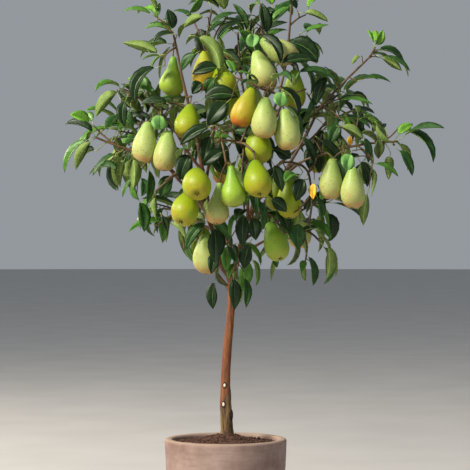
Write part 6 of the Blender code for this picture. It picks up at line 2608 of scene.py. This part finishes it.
class Growth:
    """The twigs, leaves and pears of one mass, grown by a seeded rule."""

    def __init__(self, mass: Mass, crown: Crown) -> None:
        """Start with nothing grown.

        Args:
            mass: the mass.
            crown: what shares out the crown's room.
        """
        self.mass = mass
        self.crown = crown
        self.draw = random.Random("%s %d" % (mass.name, SEED))
        self.twigs: list = []
        self.leaves: list = []
        self.middles: list = []
        self.own: list = []
        self.pears: list = []
        self.turn = self.draw.uniform(0.0, TURN)

    def frame(self) -> None:
        """The stem, the shoots and the noted leaves, each on a twiglet from the nearest twig."""
        stem = self.crown.stems[self.mass.name]
        shoots = self.crown.shoots[self.mass.name]
        self.add_twig(stem, STEM_SIDES, TWIG_FINISH)
        for line in shoots:
            self.add_twig(line, SHOOT_SIDES, TWIG_FINISH)
        for noted in NOTED.get(self.mass.name, ()):
            self.hang(noted, (stem, *shoots))

    def hang(self, noted: Noted, lines: Sequence[Line]) -> None:
        """Place a noted leaf at the first depth where it has room.

        Args:
            noted: how the leaf looks.
            lines: the twigs that may carry it.
        """
        for step in range(DEPTH_TRIES):
            depth = DEPTH_STEP * ((step + 1) // 2) * (-1.0 if step % 2 else 1.0)
            leaf = Leaf.spanning(noted, depth, self.draw)
            tree = leaf.surface()
            if not self.crown.clear(leaf, tree):
                continue
            carrier = min(lines, key=lambda line: (line.point(line.nearest(leaf.root)) - leaf.root).length)
            fork = carrier.point(max(0.0, carrier.nearest(leaf.root) - TWIGLET_BACK))
            if (leaf.root - fork).length > TWIGLET_LEAST:
                twiglet = bowed(fork, leaf.root, UP, TWIGLET_RADIUS, TWIG_STEP, 2, TWIGLET_BOW)
                self.add_twig(twiglet, SMALL_SIDES, SHOOT_FINISH if leaf.tone is Tone.YOUNG else TWIG_FINISH)
            self.leaves.append(leaf)
            self.middles.append(leaf.middle())
            self.crown.fringe.append(as_seen(self.middles[-1][None, :])[0])
            self.crown.noted.append(tree)
            self.crown.keep_shown(leaf)
            return
        LOG.warning("%s: no room for the noted leaf at %s", self.mass.name, noted.root)

    def grow(self) -> None:
        """The pears first, then the shoots' leaves, spurs, and the finer twigs."""
        stem = self.crown.stems[self.mass.name]
        shoots = self.crown.shoots[self.mass.name]
        for cluster in self.mass.clusters:
            self.bear(cluster)
        for line in shoots:
            self.dress_shoot(line)
        self.dress_stem(stem)
        for line in (*shoots, stem):
            self.refine(line)

    def add_twig(self, line: Line, sides: int, finish: Finish) -> None:
        """Keep a twig, and note the room that it takes.

        Args:
            line: its line.
            sides: corners of its section.
            finish: its bark.
        """
        self.twigs.append((line, sides, finish))
        points, faces = tube(line, ROOM_SIDES)
        self.own.append(BVHTree.FromPolygons(points.tolist(), faces))

    def bear(self, cluster: Sequence[Pear]) -> None:
        """A spur that carries the stalks of one cluster of pears.

        Args:
            cluster: the pears.
        """
        tops = [pear.along(-STALK_LENGTH / PEAR_LENGTH) for pear in cluster]
        spur = sum(tops, Vector()) / len(tops)
        stem = self.crown.stems[self.mass.name]
        root = stem.point(max(CLUSTER_LOW, stem.nearest(spur)))
        bow = bow_point(root, spur, UP)
        twig = Line.tapered((root, bow, spur), *CLUSTER_RADIUS).soft(TWIG_STEP, 2)
        self.add_twig(twig, SHOOT_SIDES, TWIG_FINISH)
        for pear in cluster:
            points = (spur, bow_point(spur, pear.along(0.0), UP), pear.along(STALK_IN))
            stalk = Line.tapered(points, STALK_RADIUS, STALK_RADIUS * STALK_FOOT)
            self.add_twig(stalk.soft(STALK_STEP, 2), SHOOT_SIDES, TWIG_FINISH)
            self.pears.append(pear)
        self.rosette(spur, (spur - bow).normalized(), Habit(light=CLUSTER_LIGHT))

    def dress_shoot(self, line: Line) -> None:
        """Leaves one after another along a shoot, and a rosette at its tip.

        Args:
            line: the shoot.
        """
        count = int(line.length / SHOOT_LEAF_SPACING)
        for index in range(1, count):
            share = index / count
            self.add_leaf(line.point(share), line.heading(share), SHOOT_SPREAD, Habit(light=SHOOT_LIGHT))
        self.end(line)

    def dress_stem(self, stem: Line) -> None:
        """Short spurs at even steps along the stem, each with a rosette, and the stem's own tip.

        Args:
            stem: the stem.
        """
        count = max(2, int(stem.length / SPUR_SPACING))
        for index in range(1, count):
            share = index / count
            self.spur(stem, share, SPUR_ANGLE, self.draw.uniform(*SPUR_LENGTH), SPUR_RADIUS, Habit())
        self.end(stem)

    def end(self, line: Line) -> None:
        """A rosette at the tip of a stem or shoot, of the largest leaves that have room.

        Args:
            line: the stem or shoot.
        """
        before = len(self.leaves)
        tip, heading = line.point(1.0), line.heading(1.0)
        for size in TIP_SIZES:
            self.rosette(tip, heading, Habit(size, LEAF_PITCH * size ** 2, TIP_LIGHT))
            if len(self.leaves) > before:
                return

    def refine(self, line: Line) -> None:
        """Carry a stem or shoot on to finer twigs, each with a few smaller leaves.

        Args:
            line: the stem or shoot.
        """
        count = int(line.length / FINE_SPACING)
        for index in range(1, count + 1):
            share = (index - FINE_FIRST) / count
            length = self.draw.uniform(*FINE_LENGTH)
            habit = Habit(self.draw.uniform(*FINE_SIZE), FINE_PITCH, count=FINE_LEAVES)
            self.spur(line, share, FINE_ANGLE, length, FINE_RADIUS, habit)

    def spur(self, line: Line, share: float, angle: float, length: float, radius: float,
             habit: Habit) -> None:
        """One side twig with a rosette at its end, if its tip is free.

        Args:
            line: the twig that it leaves.
            share: where along it.
            angle: between the two.
            length: of the new twig.
            radius: of the new twig.
            habit: how it bears leaves.
        """
        self.turn += GOLDEN_TURN
        root = line.point(share)
        heading = beside(line.heading(share), self.turn, angle)
        tip = root + heading * length
        bow = root.lerp(tip, 0.5) + line.heading(share) * BOW * length
        if not self.crown.free(np.array([tuple(tip)]), self.mass.name):
            return
        before = len(self.leaves)
        twig = Line.tapered((root, bow, tip), radius, radius * SPUR_TAPER).soft(SPUR_STEP, 2)
        self.rosette(tip, twig.heading(1.0), habit)
        if len(self.leaves) > before:
            last = self.leaves[before].root
            twig = Line.tapered((root, bow, last), radius, radius * SPUR_TAPER).soft(SPUR_STEP, 2)
            self.add_twig(twig, SMALL_SIDES, TWIG_FINISH if radius > FINE_RADIUS else SHOOT_FINISH)

    def rosette(self, tip: Vector, axis: Vector, habit: Habit) -> None:
        """Leaves round the end of a twig, each rooted a step further back.

        Args:
            tip: the twig's end.
            axis: unit vector along it.
            habit: how it bears leaves.
        """
        for index in range(habit.count):
            root = tip - axis * (ROSETTE_STEP * index)
            self.add_leaf(root, axis, FIRST_SPREAD + MORE_SPREAD * index, habit)

    def add_leaf(self, root: Vector, axis: Vector, spread: float, habit: Habit) -> None:
        """Try a few headings for one leaf, and keep the first that has room.

        Args:
            root: where its stalk is rooted.
            axis: unit vector along the twig.
            spread: angle between the twig and the leaf.
            habit: how the twig bears leaves.
        """
        self.turn += GOLDEN_TURN
        drawn = [self.leaf_at(root, axis, self.turn + NEXT_TURN * step, spread, habit)
                 for step in range(LEAF_TRIES)]
        for leaf in drawn:
            if self.has_room(leaf, habit.pitch):
                return

    def leaf_at(self, root: Vector, axis: Vector, turn: float, spread: float, habit: Habit) -> Leaf:
        """Draw one leaf. High in the crown leaves rise first, low down they hang.

        Args:
            root: where its stalk is rooted.
            axis: unit vector along the twig.
            turn: angle round the twig.
            spread: angle between the twig and the leaf.
            habit: how the twig bears leaves.

        Returns:
            The leaf.
        """
        draw = self.draw
        lift = min(1.0, max(0.0, (root.z - CROWN_LOW) / (CROWN_HIGH - CROWN_LOW)))
        turn += draw.uniform(-TURN_PLAY, TURN_PLAY)
        spread += draw.uniform(-SPREAD_PLAY, SPREAD_PLAY)
        rise = draw.uniform(*LOW_RISE) * (1.0 - lift) + draw.uniform(*HIGH_RISE) * lift
        heading = (beside(axis, turn, spread) + UP * rise).normalized()
        length = LEAF_LENGTH * draw.uniform(*LENGTH_PLAY) * habit.size
        width = LEAF_WIDTH * draw.uniform(*WIDTH_PLAY) * habit.size
        leaf = Leaf(root, heading, length, width, draw.uniform(*BEND), 0.0,
                    draw.uniform(*FOLD), draw.uniform(*WAVE), self.tone(habit.light))
        outwards = (root - CROWN_MIDDLE).normalized()
        light = outwards * OUTWARDS + UP * UPWARDS + SUN * SUNWARDS
        turned = max(-TURN_MOST, min(TURN_MOST, leaf.turn_towards(light)))
        leaf.twist = turned * TURN_SHARE + draw.uniform(-TWIST_PLAY, TWIST_PLAY)
        return leaf

    def tone(self, light: float) -> Tone:
        """Draw a tone: mostly deep green inside, lighter towards the tips.

        Args:
            light: how likely a light tone is.

        Returns:
            The tone.
        """
        chance = self.draw.random()
        if chance < light * YOUNG_SHARE:
            return Tone.YOUNG
        if chance < light:
            return Tone.FRESH
        if chance < light + OLIVE_CHANCE:
            return Tone.OLIVE
        return Tone.MID if chance > MID_ABOVE else Tone.DEEP

    def has_room(self, leaf: Leaf, pitch: float) -> bool:
        """Keep a leaf if it is clear of limbs, pears, other masses and its neighbours.

        Args:
            leaf: the leaf.
            pitch: least distance to the middle of another.

        Returns:
            Whether it was kept.
        """
        middle = leaf.middle()
        if self.middles:
            nearest = np.linalg.norm(np.array(self.middles) - middle, axis=1).min()
            if nearest < pitch * (1.0 + OPEN_MORE * self.crown.outside(middle)):
                return False
        if not self.crown.airy(middle, pitch):
            return False
        if not self.crown.free(leaf.tested(GROWN_PAIRS), self.mass.name):
            return False
        tree = leaf.surface()
        if any(tree.overlap(other) for other in (*self.own, *self.crown.noted)):
            return False
        self.leaves.append(leaf)
        self.middles.append(middle)
        self.crown.fringe.append(as_seen(middle[None, :])[0])
        self.own.append(tree)
        return True


@dataclass
class Foliage:
    """All masses: their leaves by part of the crown, their twigs and their pears."""

    timber: Timber

    def build(self) -> None:
        """Grow every mass and join each kind into pieces."""
        crown = Crown(self.timber.lines)
        growths = [Growth(mass, crown) for mass in MASSES]
        for growth in growths:
            growth.frame()
        crown.views.seal()
        for growth in growths:
            growth.grow()
        self.leaves(growths)
        self.twigs(growths)
        self.pears(growths)

    def leaves(self, growths: Sequence[Growth]) -> None:
        """Press the leaves of each part of the crown into one piece.

        Args:
            growths: the growths of all masses.
        """
        pointed = LeafPattern(False)
        rounded = LeafPattern(True)
        for part in Part:
            heap = Heap()
            names = []
            for growth in growths:
                if growth.mass.part is part:
                    names.append(growth.mass.name)
                    for leaf in growth.leaves:
                        pattern = rounded if leaf.rounded else pointed
                        pattern.press(leaf, heap, growth.draw.uniform(0.0, TURN))
            stands_for(heap.piece("leaves_" + part.value), "foliage", *names)

    def twigs(self, growths: Sequence[Growth]) -> None:
        """Join all stems, shoots, spurs and stalks.

        Args:
            growths: the growths of all masses.
        """
        heap = Heap()
        for growth in growths:
            for line, sides, finish in growth.twigs:
                points, faces = tube(line, sides)
                heap.add(points, faces, [finish])
        stands_for(heap.piece("twigs"), "foliage", *(growth.mass.name for growth in growths))

    def pears(self, growths: Sequence[Growth]) -> None:
        """Join the pears of each skin.

        Args:
            growths: the growths of all masses.
        """
        blunt = PearPattern(BLUNT_PEAR)
        slim = PearPattern(SLIM_PEAR)
        for skin in Skin:
            heap = Heap()
            names = []
            for growth in growths:
                for pear in growth.pears:
                    if pear.skin is skin:
                        (slim if pear.slim else blunt).set(pear, heap, growth.draw)
                        names.append(growth.mass.name)
            stands_for(heap.piece("pears_%s" % skin.value), "foliage", *dict.fromkeys(names))


@dataclass(frozen=True)
class Lamp:
    """One soft square lamp: where it stands, the side of its face, its watts and its sRGB hex colour."""

    name: str
    place: tuple
    size: float
    watts: float
    colour: str


@dataclass
class Studio:
    """A plain pale floor, soft light and the camera."""

    floor_radius: float = 40.0
    floor_sides: int = 64
    air: str = "#dfe6ee"
    air_strength: float = 0.40
    lamps: tuple = (
        Lamp("key", (-4.6, -3.4, 5.4), 1.8, 980.0, "#fff6ea"),
        Lamp("rim", (-4.0, 2.6, 2.8), 1.4, 160.0, "#fff0da"),
        Lamp("fill", (3.0, -4.5, 1.8), 2.5, 20.0, "#e8f0ff"),
    )
    aim: tuple = (0.03, 0.0, 0.85)
    far_clip: float = 200.0

    def build(self) -> None:
        """Set the stage."""
        floor = Bench.new("studio_floor", bpy.ops.mesh.primitive_circle_add, vertices=self.floor_sides,
                          radius=self.floor_radius, fill_type="NGON")
        floor.data.materials.append(FLOOR_FINISH.material())
        world = bpy.data.worlds.new("studio_air")
        bpy.context.scene.world = world
        world.use_nodes = True
        air = world.node_tree.nodes["Background"]
        air.inputs["Color"].default_value = linear(self.air)
        air.inputs["Strength"].default_value = self.air_strength
        for lamp in self.lamps:
            self.light(lamp)
        bpy.context.scene.view_settings.view_transform = "Standard"
        bpy.ops.object.camera_add(location=EYE, rotation=(math.pi / 2.0, 0.0, 0.0))
        camera = bpy.context.object
        camera.data.lens = LENS_MM
        camera.data.sensor_width = SENSOR_MM
        camera.data.clip_end = self.far_clip
        bpy.context.scene.camera = camera

    def light(self, lamp: Lamp) -> None:
        """Add one soft lamp that faces the crown.

        Args:
            lamp: the lamp.
        """
        bpy.ops.object.light_add(type="AREA", location=lamp.place)
        item = bpy.context.object
        item.name = "lamp_" + lamp.name
        item.data.size = lamp.size
        item.data.energy = lamp.watts
        item.data.color = linear(lamp.colour)[:3]
        towards = Vector(self.aim) - Vector(lamp.place)
        item.rotation_euler = towards.to_track_quat("-Z", "Y").to_euler()


def main() -> None:
    """Build every part in order."""
    logging.basicConfig(level=logging.INFO, format="%(name)s: %(message)s")
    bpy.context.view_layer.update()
    Bench.clear_selection()
    Studio().build()
    Pot().build()
    Soil().build()
    timber = Timber()
    timber.lay_out()
    timber.build()
    Foliage(timber).build()
    Bench.clear_selection()


if __name__ == "__main__":
    main()
